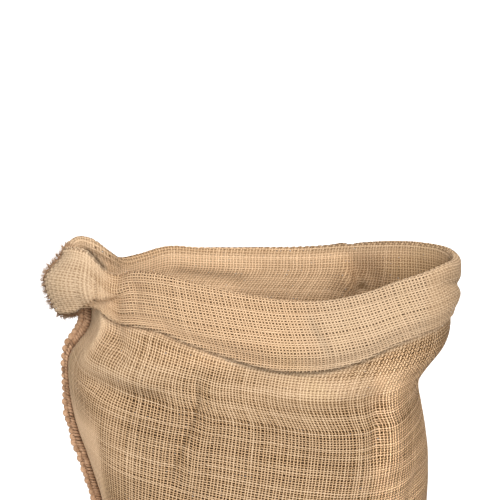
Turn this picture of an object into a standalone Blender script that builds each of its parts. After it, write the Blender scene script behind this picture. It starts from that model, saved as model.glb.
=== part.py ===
# A burlap sack standing open, its mouth turned outwards into a soft cuff.
#
# The cloth is one length, folded at the right and overlocked at the left, so
# it is one loft: rows climb from the seam under the base, up the body, over
# the turned rim and down the cuff to its hem; columns run once round the sack
# from the left seam, across the front, past the right side and along the back.
# Lengths in the tables are millimetres. +Z is up and the front faces -Y.
import math

import bpy
import numpy as np

MM = 0.001

# ---- driving sizes ---------------------------------------------------------
GIRTH = 1000.0  # once round the cloth: a sack that lies flat 500 mm wide
CLOTH = 1.6  # thickness of the open cloth, over its crossings
GAP = 0.5  # between a seam's stitching and the cloth it is sewn to
BASE_EDGE = 28.0  # radius where the base turns up into the body
BASE_SEAM = 125.0  # half length of the seam under the base
SEAM_LIFT = 3.2  # how far the base is lifted over that seam's allowance
BLEND_FROM = 505.0  # below this the body keeps its own sections
CENTRE = (-0.275, -2.567, 0.0)  # where the tables put the middle of the whole sack's footprint
STITCH_W = 8.0  # width of the overlocked allowance of the side seam
STITCH_T = 3.0  # its thickness

# ---- the mouth: one row per station, walking the rim from the left seam ----
#   x, y, z   the top of the turned rim
#   drop      how far the cuff hangs below it
#   swell     how far the middle of the cuff stands off the body
#   hem       how far its lower edge stands off the body
#   roll      radius of the soft fold at the rim
MOUTH_COLUMNS = ("x", "y", "z", "drop", "swell", "hem", "roll")
MOUTH = np.array(
    [
        (-191.0, 1.0, 637.5, 66.0, 31.0, 26.0, 4.5),  # the left seam, at the tip of the ear
        (-183.0, -10.0, 640.5, 66.0, 31.0, 22.0, 4.5),
        (-170.0, -17.0, 639.0, 56.0, 25.0, 17.0, 4.5),
        (-159.0, -20.0, 628.5, 48.0, 13.0, 7.0, 4.5),
        (-149.0, -20.0, 618.5, 46.0, 10.0, 5.0, 4.5),
        (-135.5, -22.0, 615.5, 49.0, 10.0, 4.5, 4.5),  # the neck of the ear
        (-121.0, -33.0, 621.5, 54.0, 10.5, 4.5, 4.5),
        (-91.0, -52.0, 622.0, 56.0, 12.5, 4.5, 4.5),
        (-54.0, -68.0, 616.0, 61.5, 15.0, 4.5, 4.5),
        (-10.0, -76.0, 607.5, 65.5, 17.0, 4.5, 4.5),
        (34.0, -79.0, 601.0, 69.0, 18.0, 4.5, 4.5),  # the middle of the front
        (79.0, -80.0, 600.5, 70.0, 18.0, 4.5, 4.5),
        (116.0, -79.0, 608.0, 68.0, 16.0, 4.5, 4.5),
        (144.0, -77.0, 618.0, 64.5, 14.0, 4.2, 4.5),
        (174.0, -72.0, 627.0, 62.5, 12.0, 4.0, 4.5),
        (200.0, -53.0, 633.5, 63.5, 10.5, 3.6, 4.5),
        (213.0, -20.0, 630.5, 57.0, 9.5, 3.2, 4.5),  # the right side
        (214.0, 8.0, 630.0, 55.0, 9.5, 3.4, 4.5),
        (203.0, 34.0, 630.5, 62.0, 11.0, 4.2, 4.5),
        (179.0, 54.0, 629.5, 70.0, 12.0, 4.5, 4.5),
        (156.0, 65.0, 627.5, 70.0, 13.0, 4.5, 4.5),
        (126.0, 74.0, 624.0, 70.0, 14.0, 4.5, 4.5),
        (98.0, 79.0, 621.0, 70.0, 15.0, 4.5, 4.5),
        (52.0, 82.0, 617.0, 72.0, 16.0, 4.5, 4.5),  # the middle of the back
        (-10.0, 82.0, 616.5, 72.0, 16.0, 4.5, 4.5),
        (-52.0, 77.0, 618.0, 70.0, 15.0, 4.5, 4.5),
        (-89.0, 66.0, 621.5, 66.0, 13.0, 4.5, 4.5),
        (-115.0, 50.0, 617.5, 60.0, 13.0, 5.0, 5.0),
        (-137.0, 30.0, 618.5, 56.0, 15.0, 6.0, 6.5),
        (-150.0, 15.0, 631.0, 57.0, 20.0, 9.0, 7.5),
        (-165.0, 9.5, 644.5, 62.0, 25.0, 13.0, 8.0),  # the back lip of the ear
        (-179.0, 9.5, 647.5, 66.0, 28.0, 19.0, 6.5),
        (-188.0, 7.5, 642.5, 67.0, 30.0, 24.0, 5.0),
    ]
)

# ---- the body: one row per level -------------------------------------------
#   z, then where the section ends at the left seam, right, front and back,
#   and how flat its front and back stay towards the sides (2 is an oval)
BODY_COLUMNS = ("z", "left", "right", "front", "back", "flat")
BODY = np.array(
    [
        (28.0, -158.0, 170.0, -116.0, 115.0, 2.8),
        (100.0, -163.0, 176.0, -119.0, 117.0, 3.0),
        (200.0, -164.0, 181.0, -117.0, 115.0, 3.4),
        (300.0, -157.0, 184.0, -113.0, 112.0, 4.0),
        (365.0, -158.0, 188.0, -108.5, 109.0, 4.6),
        (392.0, -166.0, 188.5, -106.5, 107.0, 4.8),
        (420.0, -175.0, 188.0, -104.0, 105.0, 5.0),
        (440.0, -182.0, 185.5, -102.5, 104.0, 5.0),
        (470.0, -189.0, 180.5, -100.0, 102.0, 5.0),
        (500.0, -192.0, 179.5, -97.5, 99.0, 5.0),
        (520.0, -191.5, 191.5, -95.5, 97.0, 5.0),
        (535.0, -187.0, 203.0, -94.0, 95.0, 5.0),
        (550.0, -179.5, 210.0, -92.5, 93.0, 5.0),
        (570.0, -171.0, 211.5, -90.5, 91.0, 5.0),
        (610.0, -166.0, 210.0, -88.0, 88.0, 5.0),
        (660.0, -164.0, 210.0, -88.0, 88.0, 5.0),
    ]
)

# ---- folds of the front, as lines across it --------------------------------
#   out    how far the fold stands out (below nought, how deep it lies)
#   wide   its half width
#   line   (x, z) along it, as it is seen from the front
FOLDS = (
    # long soft S-shaped fold down the left of the middle: a ridge, then its trough
    dict(out=5.5, wide=13.0, line=((-38.0, 539.0), (-36.0, 508.0), (-38.0, 489.0), (-43.0, 469.0), (-56.0, 443.0), (-62.0, 419.0), (-64.0, 387.0))),
    dict(out=-8.5, wide=7.5, line=((-58.0, 543.0), (-54.0, 517.0), (-53.0, 499.0), (-57.0, 481.0), (-67.0, 456.0), (-79.0, 427.0), (-84.0, 391.0))),
    # bulge slanting from the left seam below the ear, and the trough under it
    dict(out=7.0, wide=15.0, line=((-186.0, 531.0), (-150.0, 535.0), (-112.0, 522.0), (-80.0, 515.0))),
    dict(out=-7.0, wide=10.0, line=((-184.0, 510.0), (-143.0, 506.0), (-110.0, 499.0), (-76.0, 493.0))),
    # ridge falling from the neck of the ear, and the hollow beside it
    dict(out=5.0, wide=8.0, line=((-168.0, 592.0), (-158.0, 562.0), (-160.0, 535.0))),
    dict(out=-5.0, wide=9.0, line=((-146.0, 570.0), (-138.0, 550.0), (-128.0, 531.0))),
    # upright folds on the right
    dict(out=-7.0, wide=9.0, line=((120.0, 515.0), (131.0, 491.0), (135.0, 461.0), (131.0, 421.0))),
    dict(out=5.0, wide=12.0, line=((148.0, 511.0), (153.0, 481.0), (155.0, 446.0), (150.0, 411.0))),
    dict(out=-5.0, wide=9.0, line=((184.0, 418.0), (174.0, 399.0), (168.0, 381.0))),
    # broad swell under the cuff, and the slack below it
    dict(out=5.0, wide=15.0, line=((10.0, 509.0), (70.0, 504.0), (118.0, 512.0))),
    dict(out=-5.0, wide=22.0, line=((0.0, 467.0), (60.0, 437.0), (95.0, 395.0))),
    dict(out=6.0, wide=26.0, line=((-140.0, 447.0), (-132.0, 385.0), (-105.0, 300.0))),
    # slack of the lower body, deepest where it settles on the base
    dict(out=-8.0, wide=20.0, line=((48.0, 380.0), (22.0, 280.0), (34.0, 170.0))),
    dict(out=6.0, wide=22.0, line=((92.0, 360.0), (70.0, 260.0), (84.0, 150.0))),
    dict(out=-8.0, wide=17.0, line=((-126.0, 290.0), (-96.0, 180.0), (-54.0, 84.0))),
    dict(out=6.0, wide=20.0, line=((-82.0, 300.0), (-52.0, 200.0), (-14.0, 96.0))),
    dict(out=-7.0, wide=17.0, line=((140.0, 320.0), (118.0, 210.0), (128.0, 96.0))),
    dict(out=-6.0, wide=13.0, line=((-150.0, 96.0), (-70.0, 62.0), (20.0, 74.0), (96.0, 56.0))),
    dict(out=5.0, wide=16.0, line=((-110.0, 128.0), (-30.0, 110.0), (60.0, 116.0), (140.0, 92.0))),
)
BACK_FOLDS = (
    dict(out=-8.0, wide=17.0, line=((-70.0, 540.0), (-88.0, 430.0), (-60.0, 300.0))),
    dict(out=6.0, wide=20.0, line=((-26.0, 530.0), (-44.0, 420.0), (-16.0, 290.0))),
    dict(out=-8.0, wide=15.0, line=((58.0, 540.0), (82.0, 440.0), (62.0, 320.0), (78.0, 230.0))),
    dict(out=6.0, wide=20.0, line=((104.0, 530.0), (126.0, 430.0), (108.0, 300.0))),
    dict(out=-7.0, wide=17.0, line=((118.0, 250.0), (86.0, 150.0), (34.0, 74.0))),
    dict(out=-7.0, wide=17.0, line=((-128.0, 270.0), (-92.0, 170.0), (-112.0, 84.0))),
    dict(out=6.0, wide=20.0, line=((-50.0, 240.0), (-30.0, 160.0), (-60.0, 90.0))),
    dict(out=-6.0, wide=13.0, line=((-120.0, 60.0), (-30.0, 78.0), (70.0, 58.0), (140.0, 80.0))),
    # soft upright crease inside the mouth, right of the middle
    dict(out=-9.0, wide=14.0, line=((84.0, 680.0), (94.0, 625.0), (100.0, 590.0), (104.0, 520.0))),
    dict(out=5.0, wide=14.0, line=((120.0, 650.0), (124.0, 610.0), (128.0, 575.0), (130.0, 500.0))),
)
# where the ear laps over the cuff: station (mm round from the seam), how far
# below the rim its lower edge runs, and how far it stands above the cuff
LAP_STEP = 5.0  # the fold at the lap's edge turns in over this
LAP_COLUMNS = ("at", "below", "proud")
LAP = np.array(
    [
        (26.0, 58.0, 0.0),
        (35.0, 44.0, 8.0),
        (43.0, 31.0, 13.0),
        (55.0, 21.0, 13.0),
        (65.0, 17.0, 10.0),
        (76.0, 16.0, 5.0),
        (88.0, 15.0, 0.0),
    ]
)


def smooth(t):
    """Nought to one with level ends."""
    t = np.clip(t, 0.0, 1.0)
    return t * t * (3.0 - 2.0 * t)


def through(rows, key, at, columns):
    """Columns of a table read at any key: cubics with level-headed slopes."""
    x, y = rows[:, key], rows[:, columns]
    step = np.diff(x)[:, None]
    rise = np.diff(y, axis=0) / step
    slope = np.vstack([rise[:1], (rise[:-1] * step[1:] + rise[1:] * step[:-1]) / (step[1:] + step[:-1]), rise[-1:]])
    at = np.clip(np.asarray(at, float), x[0], x[-1])
    i = np.clip(np.searchsorted(x, at, "right") - 1, 0, len(x) - 2)
    h = step[i]
    t = ((at - x[i]) / (x[i + 1] - x[i]))[:, None]
    return (
        y[i] * (1 + 2 * t) * (1 - t) ** 2
        + slope[i] * h * t * (1 - t) ** 2
        + y[i + 1] * t * t * (3 - 2 * t)
        + slope[i + 1] * h * t * t * (t - 1)
    )


def mouth_curve(count=4000):
    """The closed rim as a fine curve, with its outward normal, by the share of the way round."""
    n = len(MOUTH)
    points = np.vstack([MOUTH, MOUTH[:1]])
    chord = np.sqrt(np.linalg.norm(np.diff(points[:, :3], axis=0), axis=1))
    knot = np.concatenate([[0.0], np.cumsum(chord)])
    turn = knot[-1]
    rows = np.vstack(
        [np.column_stack([knot[:-1] + k * turn, MOUTH]) for k in (-1, 0, 1)] + [np.concatenate([[2 * turn], MOUTH[0]])[None]]
    )
    fine = through(rows, 0, np.linspace(0, turn, count + 1), range(1, MOUTH.shape[1] + 1))
    along = np.concatenate([[0.0], np.cumsum(np.linalg.norm(np.diff(fine[:, :2], axis=0), axis=1))])
    share = along / along[-1]
    even = np.linspace(0, 1, count + 1)
    fine = np.column_stack([np.interp(even, share, c) for c in fine.T])[:-1]
    reach = count // 60
    run = np.roll(fine[:, :2], -reach, 0) - np.roll(fine[:, :2], reach, 0)
    out = np.column_stack([run[:, 1], -run[:, 0]])
    out /= np.linalg.norm(out, axis=1)[:, None]
    return fine, out, along[-1]


FINE_MOUTH, FINE_OUT, MOUTH_GIRTH = mouth_curve()


def mouth(u):
    """Rim values and outward direction at the share u of the way round."""
    count = len(FINE_MOUTH)
    grid = np.arange(count + 1) / count
    values = np.column_stack([np.interp(u, grid, np.append(c, c[0])) for c in FINE_MOUTH.T])
    out = np.column_stack([np.interp(u, grid, np.append(c, c[0])) for c in FINE_OUT.T])
    return values, out / np.linalg.norm(out, axis=1)[:, None]


def section(u, z):
    """The body's section at one level, at shares u of the way round."""
    left, right, front, back, flat = through(BODY, 0, [z], range(1, 6))[0]
    a = np.linspace(0, 2 * math.pi, 1441)
    middle, half = (left + right) / 2, (right - left) / 2
    x = middle - half * np.cos(a)
    # the left side runs to an edge at the seam, the right side is a tight round fold
    t = np.abs(np.cos(a))
    deep = np.where(np.cos(a) > 0, (1 - t**flat) ** 0.7, (1 - t ** (flat + 1)) ** 0.5)
    y = np.where(np.sin(a) > 0, front, back) * deep
    along = np.concatenate([[0], np.cumsum(np.hypot(np.diff(x), np.diff(y)))])
    share = along / along[-1]
    return np.column_stack([np.interp(u, share, x), np.interp(u, share, y)])


def line_distance(p, line):
    """Distance from points to a broken line, and how near its ends they are (0 at an end, 1 well inside)."""
    line = np.asarray(line, float)
    best = np.full(len(p), 1e9)
    spot = np.zeros(len(p))
    lengths = np.hypot(*np.diff(line, axis=0).T)
    total = lengths.sum()
    run = 0.0
    for a, b, length in zip(line[:-1], line[1:], lengths):
        t = np.clip(((p - a) @ (b - a)) / length**2, 0, 1)
        d = np.hypot(*(p - (a + t[:, None] * (b - a))).T)
        nearer = d < best
        best = np.where(nearer, d, best)
        spot = np.where(nearer, run + t * length, spot)
        run += length
    return best, smooth(np.minimum(spot, total - spot) / (0.22 * total))


def fold_height(x, z, front):
    """How far the folds push the cloth out, at points seen from the front or the back."""
    p = np.column_stack([x, z])
    height = np.zeros(len(p))
    for fold in FOLDS if front else BACK_FOLDS:
        d, inside = line_distance(p, fold["line"])
        height += fold["out"] * np.exp(-((d / fold["wide"]) ** 2)) * inside
    return height


def body(u, z):
    """The cloth's outer face at shares u, each at its own height z."""
    u, z = np.broadcast_arrays(np.asarray(u, float), np.asarray(z, float))
    rim, out = mouth(u)
    top = rim[:, 2] - rim[:, 6]
    low = np.minimum(z, top)
    own = np.empty((len(u), 2))
    if np.ptp(low) < 1e-9:
        own = section(u, low[0])
    else:  # levels are shared, so sections are read on a few and blended
        levels = np.linspace(low.min(), low.max(), 24)
        stack = np.stack([section(u, level) for level in levels])
        f = (low - levels[0]) / (levels[1] - levels[0])
        i = np.clip(f.astype(int), 0, 22)
        t = (f - i)[:, None]
        k = np.arange(len(u))
        own = stack[i, k] * (1 - t) + stack[i + 1, k] * t
    inner = rim[:, :2] - out * rim[:, 6:7]
    k = smooth((top - low) / (top - BLEND_FROM))[:, None]
    flat = inner * (1 - k) + own * k
    # folds move the cloth square to the section, and die out just under the rim
    size = np.array([190.0, 96.0])
    away = (flat - np.array([10.0, 0.0])) / size
    away = np.sign(away) * np.abs(away) ** 3 / size
    away /= np.linalg.norm(away, axis=1)[:, None] + 1e-12
    away = away * smooth((top - low) / 34.0)[:, None]
    front = smooth((-flat[:, 1] - 6.0) / 30.0) * fold_height(flat[:, 0], low, True)
    back = smooth((flat[:, 1] - 6.0) / 30.0) * fold_height(flat[:, 0], low, False)
    flat = flat + away * (front + back)[:, None]
    return np.column_stack([flat, low])


def lap(u, below):
    """How far the ear's lower edge stands above the cuff that it laps over."""
    at = u * GIRTH
    edge = np.interp(at, LAP[:, 0], LAP[:, 1])
    proud = np.interp(at, LAP[:, 0], LAP[:, 2], left=0.0, right=0.0)
    return proud * (1 - smooth((below - edge + 0.5 * LAP_STEP) / LAP_STEP)) * smooth(below / (0.7 * edge))


def cuff(u, share):
    """The cuff, from the outer side of the rim's roll (0) to its hem (1)."""
    rim, out = mouth(u)
    drop, swell, hem, round_ = rim[:, 3], rim[:, 4], rim[:, 5], rim[:, 6]
    top = rim[:, 2] - round_
    below = share * (drop - round_)
    on = body(u, top - below)
    start = 2 * round_
    rise = smooth(share / 0.5)
    fall = smooth((share - 0.6) / 0.4) ** 1.4
    off = start + (swell - start) * rise
    off = off + (hem - swell) * fall + lap(u, below)
    spot = on[:, :2] + out * off[:, None]
    return np.column_stack([spot, on[:, 2]])


def roll(u, turn):
    """The soft fold at the rim: 0 at its inner side, 1 at its outer side."""
    rim, out = mouth(u)
    a = math.pi * turn
    spot = rim[:, :2] - out * rim[:, 6:7] * math.cos(a)
    return np.column_stack([spot, rim[:, 2] + rim[:, 6] * (math.sin(a) - 1)])


def base(u, share):
    """The base, from its seam (0) to where its rounded edge starts (1)."""
    edge = section(u, BODY[0, 0])
    mid = np.array([6.0, 0.0])
    away = edge - mid
    reach = np.linalg.norm(away, axis=1)[:, None]
    start = mid + away * (1 - BASE_EDGE / reach)
    along = 1 - 4 * np.abs(u - 0.5)  # -1 at the left seam, 1 at the right fold
    seam = np.column_stack([mid[0] + BASE_SEAM * along, np.zeros(len(u))])
    flat = seam + (start - seam) * share
    lift = SEAM_LIFT * (1 - smooth((np.abs(flat[:, 1]) - 6.5) / 8.0))
    # towards the ends of the seam the base comes down flat again
    lift *= 1 - smooth((np.abs(flat[:, 0] - mid[0]) - BASE_SEAM - 1.0) / 8.0)
    return np.column_stack([flat, lift])


def base_edge(u, turn):
    """The rounded edge of the base: 0 on the floor, 1 where the body starts."""
    edge = section(u, BODY[0, 0])
    mid = np.array([6.0, 0.0])
    away = edge - mid
    away /= np.linalg.norm(away, axis=1)[:, None]
    a = 0.5 * math.pi * turn
    flat = edge - away * BASE_EDGE * (1 - math.sin(a))
    return np.column_stack([flat, np.full(len(u), BASE_EDGE * (1 - math.cos(a)))])


BASE_ROWS = (0.0, 0.055, 0.14, 1.0)
EDGE_ROWS = (0.34, 0.67)
BODY_ROWS = (28.0, 110.0, 195.0, 275.0, 340.0, 380.0, 412.0, 440.0, 466.0, 488.0)
UPPER_ROWS = (0.0, 0.14, 0.29, 0.46, 0.64, 0.84)
ROLL_ROWS = (0.0, 0.3, 0.65)
CUFF_ROWS = (0.0, 0.22, 0.45, 0.66, 0.84, 1.0)


def upper(u, share):
    """The body from where it starts to follow the mouth (0) to the rim's roll (1)."""
    rim, _ = mouth(u)
    top = rim[:, 2] - rim[:, 6]
    return body(u, BLEND_FROM + (top - BLEND_FROM) * share)


def rows_of_cloth(u):
    """Every row of the loft, from the base's seam to the cuff's hem."""
    rows = [base(u, s) for s in BASE_ROWS]
    rows += [base_edge(u, t) for t in EDGE_ROWS]
    rows += [body(u, np.full(len(u), z)) for z in BODY_ROWS]
    rows += [upper(u, f) for f in UPPER_ROWS]
    rows += [roll(u, t) for t in ROLL_ROWS]
    rows += [cuff(u, s) for s in CUFF_ROWS]
    return rows


def column_shares():
    """Where the columns stand: close at the ear, wider elsewhere, the same on front and back."""
    half = np.concatenate([np.linspace(0, 126, 15)[:-1], np.linspace(126, GIRTH / 2, 28)]) / GIRTH
    return np.concatenate([half, 1 - half[-2:0:-1]])


def material(name, colour, roughness):
    made = bpy.data.materials.new(name)
    made.use_nodes = True
    shader = made.node_tree.nodes["Principled BSDF"]
    shader.inputs["Base Color"].default_value = (*colour, 1)
    shader.inputs["Roughness"].default_value = roughness
    shader.inputs["Metallic"].default_value = 0.0
    made.diffuse_color = (*colour, 1)
    return made


def add(name, verts, faces, made, home):
    mesh = bpy.data.meshes.new(name)
    mesh.from_pydata([tuple((v - np.array(CENTRE)) * MM) for v in verts], [], faces)
    mesh.validate()
    mesh.update()
    mesh.shade_smooth()
    mesh.materials.append(made)
    thing = bpy.data.objects.new(name, mesh)
    home.objects.link(thing)
    return thing


def sack_cloth(made, home):
    u = column_shares()
    rows = rows_of_cloth(u)
    n = len(u)
    verts = list(rows[0][: n // 2 + 1])  # front and back meet at the base's seam
    first = [min(k, n - k) for k in range(n)]
    index = [first]
    for row in rows[1:]:
        index.append(list(range(len(verts), len(verts) + n)))
        verts.extend(row)
    faces = []
    for low, high in zip(index[:-1], index[1:]):
        for k in range(n):
            j = (k + 1) % n
            face = [low[k], low[j], high[j], high[k]]
            face = [v for i, v in enumerate(face) if v not in face[:i]]
            if len(face) > 2:
                faces.append(face)
    cloth = add("sack_cloth", verts, faces, made, home)
    skin = cloth.modifiers.new("cloth thickness", "SOLIDIFY")
    skin.thickness = CLOTH * MM
    skin.offset = -1.0
    skin.use_even_offset = False
    skin.use_rim = True
    return cloth


def strip(name, path, outward, wide, thick, made, home):
    """A plain bar along a path: its inner edge on the path, its width outward."""
    path, outward = np.asarray(path, float), np.asarray(outward, float)
    run = np.gradient(path, axis=0)
    run /= np.linalg.norm(run, axis=1)[:, None]
    outward = outward - (outward * run).sum(1)[:, None] * run
    outward /= np.linalg.norm(outward, axis=1)[:, None]
    across = np.cross(run, outward)
    # an eight-sided section with its corners eased
    e = 0.28
    outline = [(0, -0.5 + e), (e * thick / wide, -0.5), (1 - e * thick / wide, -0.5), (1, -0.5 + e), (1, 0.5 - e), (1 - e * thick / wide, 0.5), (e * thick / wide, 0.5), (0, 0.5 - e)]
    verts, faces = [], []
    m = len(outline)
    for p, o, a in zip(path, outward, across):
        verts += [p + o * wide * f + a * thick * g for f, g in outline]
    for i in range(len(path) - 1):
        for k in range(m):
            j = (k + 1) % m
            faces.append([i * m + k, i * m + j, (i + 1) * m + j, (i + 1) * m + k])
    faces.append(list(range(m))[::-1])
    faces.append([(len(path) - 1) * m + k for k in range(m)])
    thing = add(name, verts, faces, made, home)
    # faces of a closed bar all point out
    import bmesh

    shape = bmesh.new()
    shape.from_mesh(thing.data)
    bmesh.ops.recalc_face_normals(shape, faces=shape.faces)
    shape.to_mesh(thing.data)
    shape.free()
    return thing


def side_seam(made, home):
    """The overlocked allowance down the left seam, from just under the rim to the base."""
    tip = np.zeros(1)
    path = [body(tip, np.array([z])) for z in (BASE_EDGE + 8.0,) + BODY_ROWS[1:]] + [upper(tip, f) for f in UPPER_ROWS]
    path = np.vstack(path)
    path[:, 0] -= GAP
    return strip("side_seam", path, np.tile([-1.0, 0, 0], (len(path), 1)), STITCH_W, STITCH_T, made, home)


def ear_seam(made, home):
    """The same seam round the turned corner of the cuff, down to its hem."""
    path = np.vstack([roll(np.zeros(1), 0.65)] + [cuff(np.zeros(1), s) for s in CUFF_ROWS])
    path[:, 0] -= GAP + CLOTH + 0.6
    path[0] += (-0.6, 0, 1.6)
    path[:, 1] += 0.6
    outward = np.tile([-1.0, 0.1, 0], (len(path), 1))
    outward[0] = (-0.5, 0.1, 0.9)
    outward[1] = (-0.9, 0.1, 0.5)
    outward[-1] = (-0.9, 0.0, -0.35)
    return strip("ear_seam", path, outward, 5.0, 3.6, made, home)


def bottom_seam(made, home):
    """The allowance under the base, lying flat in the fold that the base makes over it."""
    x = np.linspace(6.0 - BASE_SEAM + 6, 6.0 + BASE_SEAM - 6, 12)
    path = np.column_stack([x, np.full(12, -5.0), np.full(12, 1.1)])
    return strip("bottom_seam", path, np.tile([0, 1.0, 0], (12, 1)), 10.0, 2.2, made, home)


def main():
    for thing in list(bpy.data.objects):
        bpy.data.objects.remove(thing, do_unlink=True)
    home = bpy.data.collections.new("burlap_sack")
    bpy.context.scene.collection.children.link(home)
    jute = material("jute cloth", (0.62, 0.43, 0.24), 0.92)
    twine = material("brown jute twine", (0.36, 0.21, 0.11), 0.95)
    tuft = material("frayed jute twine", (0.40, 0.24, 0.13), 0.95)
    under = material("jute twine of the base", (0.34, 0.2, 0.1), 0.95)
    sack_cloth(jute, home)
    side_seam(twine, home)
    ear_seam(tuft, home)
    bottom_seam(under, home)


main()
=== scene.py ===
import math

import bpy
import numpy as np
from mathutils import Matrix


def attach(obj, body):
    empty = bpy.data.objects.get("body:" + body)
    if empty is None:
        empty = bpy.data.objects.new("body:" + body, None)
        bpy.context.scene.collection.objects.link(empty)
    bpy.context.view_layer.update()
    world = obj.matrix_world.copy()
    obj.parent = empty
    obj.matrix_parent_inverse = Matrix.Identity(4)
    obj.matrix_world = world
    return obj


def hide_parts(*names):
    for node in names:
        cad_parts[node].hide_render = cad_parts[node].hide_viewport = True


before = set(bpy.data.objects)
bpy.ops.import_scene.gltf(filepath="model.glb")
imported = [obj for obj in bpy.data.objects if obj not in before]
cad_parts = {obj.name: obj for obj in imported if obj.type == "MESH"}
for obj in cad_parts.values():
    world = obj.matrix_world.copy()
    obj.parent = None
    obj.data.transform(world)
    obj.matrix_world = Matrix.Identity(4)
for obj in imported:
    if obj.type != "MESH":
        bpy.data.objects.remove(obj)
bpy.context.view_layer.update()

rng = np.random.default_rng(20240611)

# =============================================================================
# The sack's shape: the same sizes and tables that its solids are made from.
# =============================================================================
MM = 0.001

# ---- driving sizes ---------------------------------------------------------
GIRTH = 1000.0  # once round the cloth: a sack that lies flat 500 mm wide
CLOTH = 1.6  # thickness of the open cloth, over its crossings
GAP = 0.5  # between a seam's stitching and the cloth it is sewn to
BASE_EDGE = 28.0  # radius where the base turns up into the body
BASE_SEAM = 125.0  # half length of the seam under the base
SEAM_LIFT = 3.2  # how far the base is lifted over that seam's allowance
BLEND_FROM = 505.0  # below this the body keeps its own sections
CENTRE = (-0.275, -2.567, 0.0)  # where the tables put the middle of the whole sack's footprint
STITCH_W = 8.0  # width of the overlocked allowance of the side seam
STITCH_T = 3.0  # its thickness

# ---- the mouth: one row per station, walking the rim from the left seam ----
#   x, y, z   the top of the turned rim
#   drop      how far the cuff hangs below it
#   swell     how far the middle of the cuff stands off the body
#   hem       how far its lower edge stands off the body
#   roll      radius of the soft fold at the rim
MOUTH_COLUMNS = ("x", "y", "z", "drop", "swell", "hem", "roll")
MOUTH = np.array(
    [
        (-191.0, 1.0, 637.5, 66.0, 31.0, 26.0, 4.5),  # the left seam, at the tip of the ear
        (-183.0, -10.0, 640.5, 66.0, 31.0, 22.0, 4.5),
        (-170.0, -17.0, 639.0, 56.0, 25.0, 17.0, 4.5),
        (-159.0, -20.0, 628.5, 48.0, 13.0, 7.0, 4.5),
        (-149.0, -20.0, 618.5, 46.0, 10.0, 5.0, 4.5),
        (-135.5, -22.0, 615.5, 49.0, 10.0, 4.5, 4.5),  # the neck of the ear
        (-121.0, -33.0, 621.5, 54.0, 10.5, 4.5, 4.5),
        (-91.0, -52.0, 622.0, 56.0, 12.5, 4.5, 4.5),
        (-54.0, -68.0, 616.0, 61.5, 15.0, 4.5, 4.5),
        (-10.0, -76.0, 607.5, 65.5, 17.0, 4.5, 4.5),
        (34.0, -79.0, 601.0, 69.0, 18.0, 4.5, 4.5),  # the middle of the front
        (79.0, -80.0, 600.5, 70.0, 18.0, 4.5, 4.5),
        (116.0, -79.0, 608.0, 68.0, 16.0, 4.5, 4.5),
        (144.0, -77.0, 618.0, 64.5, 14.0, 4.2, 4.5),
        (174.0, -72.0, 627.0, 62.5, 12.0, 4.0, 4.5),
        (200.0, -53.0, 633.5, 63.5, 10.5, 3.6, 4.5),
        (213.0, -20.0, 630.5, 57.0, 9.5, 3.2, 4.5),  # the right side
        (214.0, 8.0, 630.0, 55.0, 9.5, 3.4, 4.5),
        (203.0, 34.0, 630.5, 62.0, 11.0, 4.2, 4.5),
        (179.0, 54.0, 629.5, 70.0, 12.0, 4.5, 4.5),
        (156.0, 65.0, 627.5, 70.0, 13.0, 4.5, 4.5),
        (126.0, 74.0, 624.0, 70.0, 14.0, 4.5, 4.5),
        (98.0, 79.0, 621.0, 70.0, 15.0, 4.5, 4.5),
        (52.0, 82.0, 617.0, 72.0, 16.0, 4.5, 4.5),  # the middle of the back
        (-10.0, 82.0, 616.5, 72.0, 16.0, 4.5, 4.5),
        (-52.0, 77.0, 618.0, 70.0, 15.0, 4.5, 4.5),
        (-89.0, 66.0, 621.5, 66.0, 13.0, 4.5, 4.5),
        (-115.0, 50.0, 617.5, 60.0, 13.0, 5.0, 5.0),
        (-137.0, 30.0, 618.5, 56.0, 15.0, 6.0, 6.5),
        (-150.0, 15.0, 631.0, 57.0, 20.0, 9.0, 7.5),
        (-165.0, 9.5, 644.5, 62.0, 25.0, 13.0, 8.0),  # the back lip of the ear
        (-179.0, 9.5, 647.5, 66.0, 28.0, 19.0, 6.5),
        (-188.0, 7.5, 642.5, 67.0, 30.0, 24.0, 5.0),
    ]
)

# ---- the body: one row per level -------------------------------------------
#   z, then where the section ends at the left seam, right, front and back,
#   and how flat its front and back stay towards the sides (2 is an oval)
BODY_COLUMNS = ("z", "left", "right", "front", "back", "flat")
BODY = np.array(
    [
        (28.0, -158.0, 170.0, -116.0, 115.0, 2.8),
        (100.0, -163.0, 176.0, -119.0, 117.0, 3.0),
        (200.0, -164.0, 181.0, -117.0, 115.0, 3.4),
        (300.0, -157.0, 184.0, -113.0, 112.0, 4.0),
        (365.0, -158.0, 188.0, -108.5, 109.0, 4.6),
        (392.0, -166.0, 188.5, -106.5, 107.0, 4.8),
        (420.0, -175.0, 188.0, -104.0, 105.0, 5.0),
        (440.0, -182.0, 185.5, -102.5, 104.0, 5.0),
        (470.0, -189.0, 180.5, -100.0, 102.0, 5.0),
        (500.0, -192.0, 179.5, -97.5, 99.0, 5.0),
        (520.0, -191.5, 191.5, -95.5, 97.0, 5.0),
        (535.0, -187.0, 203.0, -94.0, 95.0, 5.0),
        (550.0, -179.5, 210.0, -92.5, 93.0, 5.0),
        (570.0, -171.0, 211.5, -90.5, 91.0, 5.0),
        (610.0, -166.0, 210.0, -88.0, 88.0, 5.0),
        (660.0, -164.0, 210.0, -88.0, 88.0, 5.0),
    ]
)

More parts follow.
